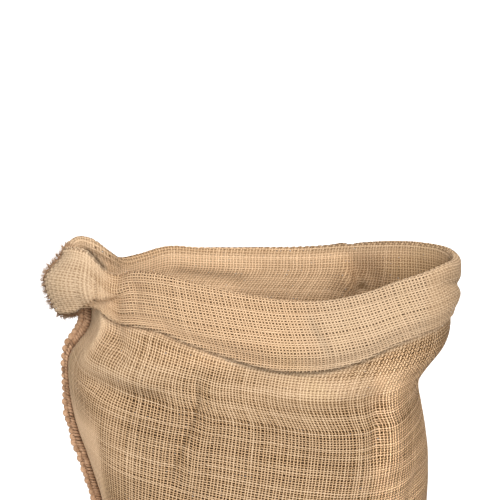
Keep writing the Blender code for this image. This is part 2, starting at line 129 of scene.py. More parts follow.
# ---- folds of the front, as lines across it --------------------------------
#   out    how far the fold stands out (below nought, how deep it lies)
#   wide   its half width
#   line   (x, z) along it, as it is seen from the front
FOLDS = (
    # long soft S-shaped fold down the left of the middle: a ridge, then its trough
    dict(out=5.5, wide=13.0, line=((-38.0, 539.0), (-36.0, 508.0), (-38.0, 489.0), (-43.0, 469.0), (-56.0, 443.0), (-62.0, 419.0), (-64.0, 387.0))),
    dict(out=-8.5, wide=7.5, line=((-58.0, 543.0), (-54.0, 517.0), (-53.0, 499.0), (-57.0, 481.0), (-67.0, 456.0), (-79.0, 427.0), (-84.0, 391.0))),
    # bulge slanting from the left seam below the ear, and the trough under it
    dict(out=7.0, wide=15.0, line=((-186.0, 531.0), (-150.0, 535.0), (-112.0, 522.0), (-80.0, 515.0))),
    dict(out=-7.0, wide=10.0, line=((-184.0, 510.0), (-143.0, 506.0), (-110.0, 499.0), (-76.0, 493.0))),
    # ridge falling from the neck of the ear, and the hollow beside it
    dict(out=5.0, wide=8.0, line=((-168.0, 592.0), (-158.0, 562.0), (-160.0, 535.0))),
    dict(out=-5.0, wide=9.0, line=((-146.0, 570.0), (-138.0, 550.0), (-128.0, 531.0))),
    # upright folds on the right
    dict(out=-7.0, wide=9.0, line=((120.0, 515.0), (131.0, 491.0), (135.0, 461.0), (131.0, 421.0))),
    dict(out=5.0, wide=12.0, line=((148.0, 511.0), (153.0, 481.0), (155.0, 446.0), (150.0, 411.0))),
    dict(out=-5.0, wide=9.0, line=((184.0, 418.0), (174.0, 399.0), (168.0, 381.0))),
    # broad swell under the cuff, and the slack below it
    dict(out=5.0, wide=15.0, line=((10.0, 509.0), (70.0, 504.0), (118.0, 512.0))),
    dict(out=-5.0, wide=22.0, line=((0.0, 467.0), (60.0, 437.0), (95.0, 395.0))),
    dict(out=6.0, wide=26.0, line=((-140.0, 447.0), (-132.0, 385.0), (-105.0, 300.0))),
    # slack of the lower body, deepest where it settles on the base
    dict(out=-8.0, wide=20.0, line=((48.0, 380.0), (22.0, 280.0), (34.0, 170.0))),
    dict(out=6.0, wide=22.0, line=((92.0, 360.0), (70.0, 260.0), (84.0, 150.0))),
    dict(out=-8.0, wide=17.0, line=((-126.0, 290.0), (-96.0, 180.0), (-54.0, 84.0))),
    dict(out=6.0, wide=20.0, line=((-82.0, 300.0), (-52.0, 200.0), (-14.0, 96.0))),
    dict(out=-7.0, wide=17.0, line=((140.0, 320.0), (118.0, 210.0), (128.0, 96.0))),
    dict(out=-6.0, wide=13.0, line=((-150.0, 96.0), (-70.0, 62.0), (20.0, 74.0), (96.0, 56.0))),
    dict(out=5.0, wide=16.0, line=((-110.0, 128.0), (-30.0, 110.0), (60.0, 116.0), (140.0, 92.0))),
)
BACK_FOLDS = (
    dict(out=-8.0, wide=17.0, line=((-70.0, 540.0), (-88.0, 430.0), (-60.0, 300.0))),
    dict(out=6.0, wide=20.0, line=((-26.0, 530.0), (-44.0, 420.0), (-16.0, 290.0))),
    dict(out=-8.0, wide=15.0, line=((58.0, 540.0), (82.0, 440.0), (62.0, 320.0), (78.0, 230.0))),
    dict(out=6.0, wide=20.0, line=((104.0, 530.0), (126.0, 430.0), (108.0, 300.0))),
    dict(out=-7.0, wide=17.0, line=((118.0, 250.0), (86.0, 150.0), (34.0, 74.0))),
    dict(out=-7.0, wide=17.0, line=((-128.0, 270.0), (-92.0, 170.0), (-112.0, 84.0))),
    dict(out=6.0, wide=20.0, line=((-50.0, 240.0), (-30.0, 160.0), (-60.0, 90.0))),
    dict(out=-6.0, wide=13.0, line=((-120.0, 60.0), (-30.0, 78.0), (70.0, 58.0), (140.0, 80.0))),
    # soft upright crease inside the mouth, right of the middle
    dict(out=-9.0, wide=14.0, line=((84.0, 680.0), (94.0, 625.0), (100.0, 590.0), (104.0, 520.0))),
    dict(out=5.0, wide=14.0, line=((120.0, 650.0), (124.0, 610.0), (128.0, 575.0), (130.0, 500.0))),
)
# where the ear laps over the cuff: station (mm round from the seam), how far
# below the rim its lower edge runs, and how far it stands above the cuff
LAP_STEP = 5.0  # the fold at the lap's edge turns in over this
LAP_COLUMNS = ("at", "below", "proud")
LAP = np.array(
    [
        (26.0, 58.0, 0.0),
        (35.0, 44.0, 8.0),
        (43.0, 31.0, 13.0),
        (55.0, 21.0, 13.0),
        (65.0, 17.0, 10.0),
        (76.0, 16.0, 5.0),
        (88.0, 15.0, 0.0),
    ]
)


def smooth(t):
    """Nought to one with level ends."""
    t = np.clip(t, 0.0, 1.0)
    return t * t * (3.0 - 2.0 * t)


def through(rows, key, at, columns):
    """Columns of a table read at any key: cubics with level-headed slopes."""
    x, y = rows[:, key], rows[:, columns]
    step = np.diff(x)[:, None]
    rise = np.diff(y, axis=0) / step
    slope = np.vstack([rise[:1], (rise[:-1] * step[1:] + rise[1:] * step[:-1]) / (step[1:] + step[:-1]), rise[-1:]])
    at = np.clip(np.asarray(at, float), x[0], x[-1])
    i = np.clip(np.searchsorted(x, at, "right") - 1, 0, len(x) - 2)
    h = step[i]
    t = ((at - x[i]) / (x[i + 1] - x[i]))[:, None]
    return (
        y[i] * (1 + 2 * t) * (1 - t) ** 2
        + slope[i] * h * t * (1 - t) ** 2
        + y[i + 1] * t * t * (3 - 2 * t)
        + slope[i + 1] * h * t * t * (t - 1)
    )


def mouth_curve(count=4000):
    """The closed rim as a fine curve, with its outward normal, by the share of the way round."""
    n = len(MOUTH)
    points = np.vstack([MOUTH, MOUTH[:1]])
    chord = np.sqrt(np.linalg.norm(np.diff(points[:, :3], axis=0), axis=1))
    knot = np.concatenate([[0.0], np.cumsum(chord)])
    turn = knot[-1]
    rows = np.vstack(
        [np.column_stack([knot[:-1] + k * turn, MOUTH]) for k in (-1, 0, 1)] + [np.concatenate([[2 * turn], MOUTH[0]])[None]]
    )
    fine = through(rows, 0, np.linspace(0, turn, count + 1), range(1, MOUTH.shape[1] + 1))
    along = np.concatenate([[0.0], np.cumsum(np.linalg.norm(np.diff(fine[:, :2], axis=0), axis=1))])
    share = along / along[-1]
    even = np.linspace(0, 1, count + 1)
    fine = np.column_stack([np.interp(even, share, c) for c in fine.T])[:-1]
    reach = count // 60
    run = np.roll(fine[:, :2], -reach, 0) - np.roll(fine[:, :2], reach, 0)
    out = np.column_stack([run[:, 1], -run[:, 0]])
    out /= np.linalg.norm(out, axis=1)[:, None]
    return fine, out, along[-1]


FINE_MOUTH, FINE_OUT, MOUTH_GIRTH = mouth_curve()


def mouth(u):
    """Rim values and outward direction at the share u of the way round."""
    count = len(FINE_MOUTH)
    grid = np.arange(count + 1) / count
    values = np.column_stack([np.interp(u, grid, np.append(c, c[0])) for c in FINE_MOUTH.T])
    out = np.column_stack([np.interp(u, grid, np.append(c, c[0])) for c in FINE_OUT.T])
    return values, out / np.linalg.norm(out, axis=1)[:, None]


def section(u, z):
    """The body's section at one level, at shares u of the way round."""
    left, right, front, back, flat = through(BODY, 0, [z], range(1, 6))[0]
    a = np.linspace(0, 2 * math.pi, 1441)
    middle, half = (left + right) / 2, (right - left) / 2
    x = middle - half * np.cos(a)
    # the left side runs to an edge at the seam, the right side is a tight round fold
    t = np.abs(np.cos(a))
    deep = np.where(np.cos(a) > 0, (1 - t**flat) ** 0.7, (1 - t ** (flat + 1)) ** 0.5)
    y = np.where(np.sin(a) > 0, front, back) * deep
    along = np.concatenate([[0], np.cumsum(np.hypot(np.diff(x), np.diff(y)))])
    share = along / along[-1]
    return np.column_stack([np.interp(u, share, x), np.interp(u, share, y)])


def line_distance(p, line):
    """Distance from points to a broken line, and how near its ends they are (0 at an end, 1 well inside)."""
    line = np.asarray(line, float)
    best = np.full(len(p), 1e9)
    spot = np.zeros(len(p))
    lengths = np.hypot(*np.diff(line, axis=0).T)
    total = lengths.sum()
    run = 0.0
    for a, b, length in zip(line[:-1], line[1:], lengths):
        t = np.clip(((p - a) @ (b - a)) / length**2, 0, 1)
        d = np.hypot(*(p - (a + t[:, None] * (b - a))).T)
        nearer = d < best
        best = np.where(nearer, d, best)
        spot = np.where(nearer, run + t * length, spot)
        run += length
    return best, smooth(np.minimum(spot, total - spot) / (0.22 * total))


def fold_height(x, z, front):
    """How far the folds push the cloth out, at points seen from the front or the back."""
    p = np.column_stack([x, z])
    height = np.zeros(len(p))
    for fold in FOLDS if front else BACK_FOLDS:
        d, inside = line_distance(p, fold["line"])
        height += fold["out"] * np.exp(-((d / fold["wide"]) ** 2)) * inside
    return height


def body(u, z):
    """The cloth's outer face at shares u, each at its own height z."""
    u, z = np.broadcast_arrays(np.asarray(u, float), np.asarray(z, float))
    rim, out = mouth(u)
    top = rim[:, 2] - rim[:, 6]
    low = np.minimum(z, top)
    own = np.empty((len(u), 2))
    if np.ptp(low) < 1e-9:
        own = section(u, low[0])
    else:  # levels are shared, so sections are read on a few and blended
        levels = np.linspace(low.min(), low.max(), 24)
        stack = np.stack([section(u, level) for level in levels])
        f = (low - levels[0]) / (levels[1] - levels[0])
        i = np.clip(f.astype(int), 0, 22)
        t = (f - i)[:, None]
        k = np.arange(len(u))
        own = stack[i, k] * (1 - t) + stack[i + 1, k] * t
    inner = rim[:, :2] - out * rim[:, 6:7]
    k = smooth((top - low) / (top - BLEND_FROM))[:, None]
    flat = inner * (1 - k) + own * k
    # folds move the cloth square to the section, and die out just under the rim
    size = np.array([190.0, 96.0])
    away = (flat - np.array([10.0, 0.0])) / size
    away = np.sign(away) * np.abs(away) ** 3 / size
    away /= np.linalg.norm(away, axis=1)[:, None] + 1e-12
    away = away * smooth((top - low) / 34.0)[:, None]
    front = smooth((-flat[:, 1] - 6.0) / 30.0) * fold_height(flat[:, 0], low, True)
    back = smooth((flat[:, 1] - 6.0) / 30.0) * fold_height(flat[:, 0], low, False)
    flat = flat + away * (front + back)[:, None]
    return np.column_stack([flat, low])


def lap(u, below):
    """How far the ear's lower edge stands above the cuff that it laps over."""
    at = u * GIRTH
    edge = np.interp(at, LAP[:, 0], LAP[:, 1])
    proud = np.interp(at, LAP[:, 0], LAP[:, 2], left=0.0, right=0.0)
    return proud * (1 - smooth((below - edge + 0.5 * LAP_STEP) / LAP_STEP)) * smooth(below / (0.7 * edge))


def cuff(u, share):
    """The cuff, from the outer side of the rim's roll (0) to its hem (1)."""
    rim, out = mouth(u)
    drop, swell, hem, round_ = rim[:, 3], rim[:, 4], rim[:, 5], rim[:, 6]
    top = rim[:, 2] - round_
    below = share * (drop - round_)
    on = body(u, top - below)
    start = 2 * round_
    rise = smooth(share / 0.5)
    fall = smooth((share - 0.6) / 0.4) ** 1.4
    off = start + (swell - start) * rise
    off = off + (hem - swell) * fall + lap(u, below)
    spot = on[:, :2] + out * off[:, None]
    return np.column_stack([spot, on[:, 2]])


def roll(u, turn):
    """The soft fold at the rim: 0 at its inner side, 1 at its outer side."""
    rim, out = mouth(u)
    a = math.pi * turn
    spot = rim[:, :2] - out * rim[:, 6:7] * math.cos(a)
    return np.column_stack([spot, rim[:, 2] + rim[:, 6] * (math.sin(a) - 1)])


def base(u, share):
    """The base, from its seam (0) to where its rounded edge starts (1)."""
    edge = section(u, BODY[0, 0])
    mid = np.array([6.0, 0.0])
    away = edge - mid
    reach = np.linalg.norm(away, axis=1)[:, None]
    start = mid + away * (1 - BASE_EDGE / reach)
    along = 1 - 4 * np.abs(u - 0.5)  # -1 at the left seam, 1 at the right fold
    seam = np.column_stack([mid[0] + BASE_SEAM * along, np.zeros(len(u))])
    flat = seam + (start - seam) * share
    lift = SEAM_LIFT * (1 - smooth((np.abs(flat[:, 1]) - 6.5) / 8.0))
    # towards the ends of the seam the base comes down flat again
    lift *= 1 - smooth((np.abs(flat[:, 0] - mid[0]) - BASE_SEAM - 1.0) / 8.0)
    return np.column_stack([flat, lift])


def base_edge(u, turn):
    """The rounded edge of the base: 0 on the floor, 1 where the body starts."""
    edge = section(u, BODY[0, 0])
    mid = np.array([6.0, 0.0])
    away = edge - mid
    away /= np.linalg.norm(away, axis=1)[:, None]
    a = 0.5 * math.pi * turn
    flat = edge - away * BASE_EDGE * (1 - math.sin(a))
    return np.column_stack([flat, np.full(len(u), BASE_EDGE * (1 - math.cos(a)))])




# =============================================================================
# The cloth as a fine grid, then as woven yarns.
# =============================================================================
WARP = 3.55  # pitch of the upright yarns round the sack, mm
WEFT = 2.68  # pitch of the level yarns up the cloth, mm
WARP_W = 1.48  # width of the firm middle of an upright yarn
WEFT_W = 1.10
OVER_FILL, UNDER_FILL = 0.98, 0.62  # share of the pitch a yarn covers, loose sides and all, over and under a crossing
LAP_STEP = 2.6  # the cloth shows the fold of the ear's lap more crisply than the solid
RISE = 0.36  # how far a yarn stands above or below the middle of the cloth at a crossing
SKEW = 0.29  # how far the upright yarns lean in the slack upper body, as a slope
DRIFT = 21.0  # how far the upper body stands to the right of the sections below it
TILT = 50.0  # how much higher a level yarn stands at the seam than right of the middle
SKEW_FROM, SKEW_AT = 140.0, 470.0  # height where the lean begins, and where it crosses the true line

ROOT = "root"


def noise(p, scale, seed, wrap=None):
    """Smooth noise from -1 to 1 at points (n, 2) in mm; wrap is the girth, for a pattern that closes round the sack."""
    cells = np.random.default_rng(seed)
    q = p / np.asarray(scale, float)
    nx = max(2, int(round(wrap / scale[0]))) if wrap else 512
    if wrap:
        q = np.column_stack([p[:, 0] / wrap * nx, q[:, 1]])
    table = cells.uniform(-1, 1, (nx, 512))
    i = np.floor(q).astype(int)
    f = q - i
    f = f * f * (3 - 2 * f)
    x0, x1 = i[:, 0] % nx, (i[:, 0] + 1) % nx
    y0, y1 = i[:, 1] % 512, (i[:, 1] + 1) % 512
    return (
        table[x0, y0] * (1 - f[:, 0]) * (1 - f[:, 1])
        + table[x1, y0] * f[:, 0] * (1 - f[:, 1])
        + table[x0, y1] * (1 - f[:, 0]) * f[:, 1]
        + table[x1, y1] * f[:, 0] * f[:, 1]
    )


def wave(x, scale, seed):
    """Smooth noise of one number, from -1 to 1."""
    return noise(np.column_stack([np.asarray(x, float), np.zeros(len(x))]), (scale, 1.0), seed)


COLUMNS = 1000


def cloth_grid():
    """Dense rows of the loft, and the kind of part each row belongs to."""
    u = np.arange(COLUMNS) / COLUMNS
    rows, kind = [], []

    def take(make, values, tag):
        for value in values:
            rows.append(make(u, value))
            kind.append(tag)

    take(base, np.linspace(0, 1, 44)[:-1], 0)
    take(base_edge, np.linspace(0, 1, 14)[:-1], 1)
    take(lambda w, z: body(w, np.full(len(w), z)), np.linspace(BODY[0, 0], BLEND_FROM, 190)[:-1], 2)
    rim, _ = mouth(u)
    top = rim[:, 2] - rim[:, 6]
    take(lambda w, f: body(w, BLEND_FROM + (top - BLEND_FROM) * f), np.linspace(0, 1, 46)[:-1], 3)
    take(roll, np.linspace(0, 1, 11)[:-1], 4)
    take(cuff, np.linspace(0, 1, 34), 5)
    return np.stack(rows), np.array(kind)


def smooth_rows(g, times):
    for _ in range(times):
        g = (np.roll(g, 1, 1) + np.roll(g, -1, 1) + 2 * g) / 4
    return g


def normals(g):
    du = np.roll(g, -1, 1) - np.roll(g, 1, 1)
    dv = np.empty_like(g)
    dv[1:-1] = g[2:] - g[:-2]
    dv[0], dv[-1] = g[1] - g[0], g[-1] - g[-2]
    n = np.cross(du, dv)
    n /= np.linalg.norm(n, axis=2)[:, :, None] + 1e-12
    for _ in range(2):
        n = n + np.roll(n, 1, 1) + np.roll(n, -1, 1)
        n[1:-1] = n[1:-1] + n[:-2] + n[2:]
        n /= np.linalg.norm(n, axis=2)[:, :, None] + 1e-12
    return n


GRID, KIND = cloth_grid()
step = np.linalg.norm(np.diff(GRID, axis=0), axis=2)
LENGTH = np.concatenate([[0.0], np.cumsum(step[:, ::10].mean(1))])  # distance up the cloth of each row
RIM_AT = LENGTH[np.argmax(KIND == 4)]
HEM_AT = LENGTH[-1]
BODY_AT = LENGTH[np.argmax(KIND == 2)]
NORMAL = normals(GRID)


def crumple(grid, normal):
    """The small unevenness of slack hessian, laid over the main folds."""
    rows, cols = grid.shape[:2]
    u = np.tile(np.arange(cols) / cols * GIRTH, rows)
    v = np.repeat(LENGTH, cols)
    p = np.column_stack([u, v])
    big = noise(p, (95.0, 80.0), 11, GIRTH) * 2.0
    mid = noise(np.column_stack([u + 0.35 * v, v]), (34.0, 60.0), 12, GIRTH) * 0.7
    small = noise(p, (16.0, 22.0), 13, GIRTH) * 0.22
    height = (big + mid + small).reshape(rows, cols)
    # the base lies flat, and the cuff keeps clear of the body behind it
    amount = smooth((LENGTH - BODY_AT + 10.0) / 60.0)[:, None] * np.where(KIND >= 3, 0.55, 1.0)[:, None]
    amount = amount * np.where(KIND == 5, 0.8, 1.0)[:, None]
    away = np.minimum(np.arange(cols), cols - np.arange(cols)) / cols * GIRTH
    amount = amount * smooth(away / 26.0)[None, :]  # the stitching holds the cloth at the seam
    height = height * amount
    # on the cuff the cloth's own outer side faces the body, so a swell goes the other way
    height = np.where((KIND == 5)[:, None], -np.abs(height) * 0.8, height)
    return grid + normal * height[:, :, None]


GRID = crumple(GRID, NORMAL)
# sharper creases in the slack front, as soft troughs and the ridges beside them
#   depth  mm in (below nought, out);  wide  half width;  line  (x, z) as seen from the front
CREASES = (
    dict(depth=-1.0, wide=7.5, line=((-58.0, 543.0), (-54.0, 517.0), (-53.0, 499.0), (-57.0, 481.0), (-67.0, 456.0), (-79.0, 427.0), (-84.0, 391.0))),
    dict(depth=2.3, wide=2.6, line=((-57.0, 536.0), (-53.0, 512.0), (-53.5, 494.0), (-57.0, 478.0), (-67.0, 454.0), (-79.0, 425.0), (-84.0, 400.0))),
    dict(depth=-1.0, wide=5.0, line=((-50.0, 530.0), (-46.0, 508.0), (-47.0, 490.0), (-52.0, 470.0), (-62.0, 448.0), (-72.0, 421.0))),
    dict(depth=1.6, wide=3.0, line=((132.0, 512.0), (134.0, 494.0), (131.0, 470.0), (133.0, 446.0), (128.0, 424.0))),
    dict(depth=1.5, wide=3.4, line=((-146.0, 566.0), (-139.0, 548.0), (-128.0, 533.0), (-117.0, 524.0))),
    dict(depth=1.4, wide=3.6, line=((-166.0, 505.0), (-140.0, 500.0), (-112.0, 493.0), (-84.0, 486.0))),
    dict(depth=1.2, wide=4.0, line=((96.0, 500.0), (112.0, 486.0), (116.0, 462.0))),
    dict(depth=1.3, wide=3.5, line=((40.0, 512.0), (74.0, 506.0), (104.0, 514.0))),
)
# the soft dent across the cuff, and the upright fold inside the mouth with its pocket
CUFF_CREASES = (
    dict(depth=1.7, wide=4.0, line=((58.0, 592.0), (66.0, 576.0), (77.0, 558.0), (84.0, 544.0))),
    dict(depth=-1.2, wide=6.0, line=((70.0, 590.0), (79.0, 574.0), (90.0, 556.0))),
    dict(depth=1.2, wide=5.0, line=((-60.0, 600.0), (-20.0, 580.0), (30.0, 568.0))),
    dict(depth=1.2, wide=4.0, line=((110.0, 594.0), (140.0, 600.0), (170.0, 607.0))),
    dict(depth=2.4, wide=5.5, line=((-121.0, 614.0), (-117.0, 600.0), (-120.0, 578.0))),
    dict(depth=1.4, wide=4.0, line=((-112.0, 596.0), (-96.0, 584.0), (-84.0, 568.0))),
)
INSIDE_CREASES = (
    dict(depth=3.4, wide=6.0, line=((92.0, 660.0), (97.0, 622.0), (99.0, 604.0), (103.0, 586.0), (112.0, 560.0))),
    dict(depth=-3.6, wide=5.0, line=((104.0, 660.0), (108.0, 622.0), (111.0, 604.0), (115.0, 586.0), (124.0, 560.0))),
    dict(depth=3.0, wide=20.0, line=((150.0, 640.0), (152.0, 606.0), (150.0, 560.0))),
    dict(depth=2.2, wide=9.0, line=((-96.0, 612.0), (-60.0, 604.0), (-20.0, 596.0), (20.0, 590.0))),
    dict(depth=-2.2, wide=8.0, line=((-90.0, 594.0), (-50.0, 586.0), (0.0, 580.0))),
)
for table, place, way_in in (
    (CUFF_CREASES, (KIND == 5)[:, None] & (GRID[:, :, 1] < -20.0), 1.0),
    (INSIDE_CREASES, ((KIND == 2) | (KIND == 3) | (KIND == 4))[:, None] & (GRID[:, :, 1] > 12.0) & (GRID[:, :, 2] > 520.0), -1.0),
):
    seen = GRID[place]
    push = np.zeros(len(seen))
    for crease in table:
        far, inside = line_distance(seen[:, [0, 2]], crease["line"])
        push += crease["depth"] * np.exp(-((far / crease["wide"]) ** 2)) * inside
    calm = 1 - np.exp(-(((LENGTH - RIM_AT) / 15.0) ** 2))  # the rim itself stays even
    push = push * np.broadcast_to(calm[:, None], GRID.shape[:2])[place]
    GRID[place] += way_in * NORMAL[place] * push[:, None]
front_body = ((KIND == 2) | (KIND == 3))[:, None] & (GRID[:, :, 1] < -20.0)
# the long crease is a thin line in the cloth, so the broad trough beside it is eased out first
gap_to = np.minimum(np.arange(COLUMNS), COLUMNS - np.arange(COLUMNS)) * GIRTH / COLUMNS
blur = np.exp(-0.5 * (gap_to / 10.0) ** 2)
eased = np.fft.irfft(np.fft.rfft(GRID, axis=1) * np.fft.rfft(blur / blur.sum())[None, :, None], n=COLUMNS, axis=1)
far, inside = line_distance(GRID[front_body][:, [0, 2]], CREASES[1]["line"])
GRID[front_body] += (eased[front_body] - GRID[front_body]) * (0.85 * np.exp(-((far / 15.0) ** 2)) * inside)[:, None]
seen = GRID[front_body]
push = np.zeros(len(seen))
for crease in CREASES:
    far, inside = line_distance(seen[:, [0, 2]], crease["line"])
    push += crease["depth"] * np.exp(-((far / crease["wide"]) ** 2)) * inside
GRID[front_body] -= NORMAL[front_body] * push[:, None]
# under the ear's rolled back lip the cloth falls away, so the slit is deep
way = np.arange(COLUMNS) / COLUMNS * GIRTH
rim_top = mouth(np.arange(COLUMNS) / COLUMNS)[0][:, 2]
below = rim_top[None, :] - GRID[:, :, 2]
slit = smooth((way - 925.0) / 14.0) * smooth((995.0 - way) / 14.0)
sink = slit[None, :] * smooth((below - 7.0) / 7.0) * smooth((62.0 - below) / 30.0) * ((KIND == 3) | (KIND == 2))[:, None]
GRID[:, :, 1] += 3.5 * sink
# under the ear the body is drawn in, so the seam slants
drawn = smooth((GRID[:, :, 2] - 520.0) / 42.0) * smooth((640.0 - GRID[:, :, 2]) / 30.0) * smooth((-GRID[:, :, 0] - 130.0) / 60.0) * ((KIND == 3) | (KIND == 2))[:, None]
drawn = drawn * (1 - smooth((GRID[:, :, 2] - rim_top[None, :] + 26.0) / 22.0))
GRID[:, :, 0] += 13.0 * drawn
# a small notch in the right end of the cuff, below its rolled top
height = GRID[:, :, 2] * 0.97 + GRID[:, :, 1] * 0.24
notch = np.exp(-(((height - 581.0) / 5.5) ** 2)) * smooth((GRID[:, :, 0] - 192.0) / 16.0) * (KIND > 4)[:, None]
GRID[:, :, 0] -= 4.2 * notch
GRID[1:-1] = (GRID[:-2] + 2 * GRID[1:-1] + GRID[2:]) / 4
NORMAL = normals(GRID)

# the hem is turned in: a small round edge, then the spare cloth lying up behind the cuff
TURN = 0.8
edge_down = GRID[-1] - GRID[-2]
edge_down /= np.linalg.norm(edge_down, axis=1)[:, None]
CUFF_LONG = np.linalg.norm(np.diff(GRID[KIND >= 4], axis=0), axis=2).sum(0)  # by column
tucked = [GRID[-1] + NORMAL[-1] * TURN * (1 - math.cos(a)) + edge_down * TURN * math.sin(a) for a in np.linspace(0, math.pi, 5)[1:]]
tucked += [GRID[-1 - k] + NORMAL[-1 - k] * 2 * TURN for k in range(1, 24)]
tuck_at = HEM_AT + np.concatenate([np.linspace(0, math.pi * TURN, 5)[1:], math.pi * TURN + np.arange(1, 24) * (HEM_AT - RIM_AT) / 43.0])
GRID = np.concatenate([GRID, np.stack(tucked)])
KIND = np.concatenate([KIND, np.full(len(tucked), 6)])
LENGTH = np.concatenate([LENGTH, tuck_at])
NORMAL = normals(GRID)
CUFF_SCALE = smooth_rows(((HEM_AT - RIM_AT) / CUFF_LONG)[None, :] ** 0.85, 40)[0]
V_END = RIM_AT + 1.28 * (HEM_AT - RIM_AT)


def at(u, v):
    """Position and normal at shares u of the way round and distances v up the cloth."""
    r = np.interp(v, LENGTH, np.arange(len(LENGTH)))
    c = (u % 1.0) * COLUMNS
    r0 = np.clip(np.floor(r).astype(int), 0, len(LENGTH) - 2)
    c0 = np.floor(c).astype(int) % COLUMNS
    c1 = (c0 + 1) % COLUMNS
    fr, fc = (r - r0)[..., None], (c - np.floor(c))[..., None]

    def mix(g):
        return (g[r0, c0] * (1 - fc) + g[r0, c1] * fc) * (1 - fr) + (g[r0 + 1, c0] * (1 - fc) + g[r0 + 1, c1] * fc) * fr

    n = mix(NORMAL)
    return mix(GRID), n / np.linalg.norm(n, axis=-1)[..., None]


ROW_Z = np.where(KIND <= 3, GRID[:, 260, 2], GRID[np.argmax(KIND == 4), 260, 2])
slope = SKEW * smooth((LENGTH - SKEW_FROM) / 160.0) * (1 - 0.85 * smooth((ROW_Z - 474.0) / 38.0) * (LENGTH < RIM_AT))
slope = slope * (1 + 0.3 * smooth((LENGTH - RIM_AT - 20.0) / 40.0))
STRAY = np.concatenate([[0.0], np.cumsum((slope[1:] + slope[:-1]) / 2 * np.diff(LENGTH))])
STRAY = STRAY - np.interp(SKEW_AT + 110.0, LENGTH, STRAY)
# where the upper body stands over to the right the yarns go up straight, and lean again behind the cuff
held = np.clip((ROW_Z - 504.0) / 42.0, 0, 1)
STRAY = STRAY - DRIFT * held * (1 - smooth((LENGTH - np.interp(550.0, ROW_Z[KIND <= 3], LENGTH[KIND <= 3])) / 44.0))


def lean(u, v):
    """How far an upright yarn has strayed round the sack, as a share of the girth: nothing at the seam.

    Front and back are sheared alike, their tops to the right, so the back's yarns stray the other way round."""
    way = u * GIRTH
    hold = smooth(way / 75.0) * smooth((GIRTH - way) / 150.0)
    turned = 1 - 2 * smooth((way - 440.0) / 260.0)
    stray = np.interp(v, LENGTH, STRAY)
    # behind the cuff's right end the cloth spreads by itself, and the yarns stand nearly square to the level ones
    spread = smooth((way - 300.0) / 90.0) * smooth((620.0 - way) / 90.0) * smooth((v - np.interp(500.0, ROW_Z[KIND <= 3], LENGTH[KIND <= 3])) / 30.0) * (1 - smooth((v - RIM_AT + 30.0) / 30.0))
    level = np.interp(np.interp(505.0, ROW_Z[KIND <= 3], LENGTH[KIND <= 3]), LENGTH, STRAY)
    stray = stray + (level - stray) * 0.6 * spread
    return stray * hold * turned / GIRTH


TILT_COLUMNS = ("way", "drop")  # mm round from the seam, and how much of the tilt has been lost there
TILTED = np.array([(0.0, 0.0), (75.0, 0.33), (140.0, 0.66), (200.0, 0.95), (262.0, 1.19), (310.0, 1.33), (350.0, 1.36), (390.0, 1.3), (430.0, 1.14), (500.0, 0.95), (620.0, 0.8), (800.0, 0.42), (1000.0, 0.0)])


def tilt(u, v):
    """How far a level yarn lies below its height at the seam: the sack hangs from its seam side."""
    fall = through(TILTED, 0, (u % 1.0).ravel() * GIRTH, [1])[:, 0].reshape(u.shape)
    low = smooth((v - 60.0) / 320.0) * (1 - 0.82 * smooth((v - RIM_AT + 95.0) / 90.0))
    return -TILT * fall * low


def spot(p, cx, cz, rx, rz):
    """How near points are to the middle of an oval place, as seen from the front: 1 at it, 0 far off."""
    return np.exp(-(((p[..., 0] - cx) / rx) ** 2 + ((p[..., 2] - cz) / rz) ** 2))


def behind(p):
    """0 on the front half of the sack, 1 on the back half."""
    return smooth((p[..., 1] + 2.0) / 24.0)


def density(p):
    """How much wider than usual the yarns lie, where the cloth is jammed close or pulled flat."""
    front = 1 - behind(p)
    wide = 1.1 * spot(p, -192.0, 606.0, 34.0, 46.0) + 0.22 * spot(p, -120.0, 523.0, 50.0, 15.0)
    wide += 0.24 * spot(p, 132.0, 461.0, 9.0, 40.0) + 0.12 * spot(p, 80.0, 511.0, 60.0, 8.0)
    wide -= 0.18 * smooth((p[..., 0] - 128.0) / 36.0) * (1 - smooth((p[..., 2] - 520.0) / 30.0))
    return wide * front


def beside(p):
    """The smooth strip of doubled cloth along the lower part of the side seam, as seen from the front."""
    edge = -144.0 - (p[..., 2] - 375.0) * 0.12
    reach = smooth((p[..., 2] - 235.0) / 110.0) * (1 - smooth((p[..., 2] - 450.0) / 38.0))
    return smooth((edge - p[..., 0]) / 11.0) * reach * (1 - behind(p))


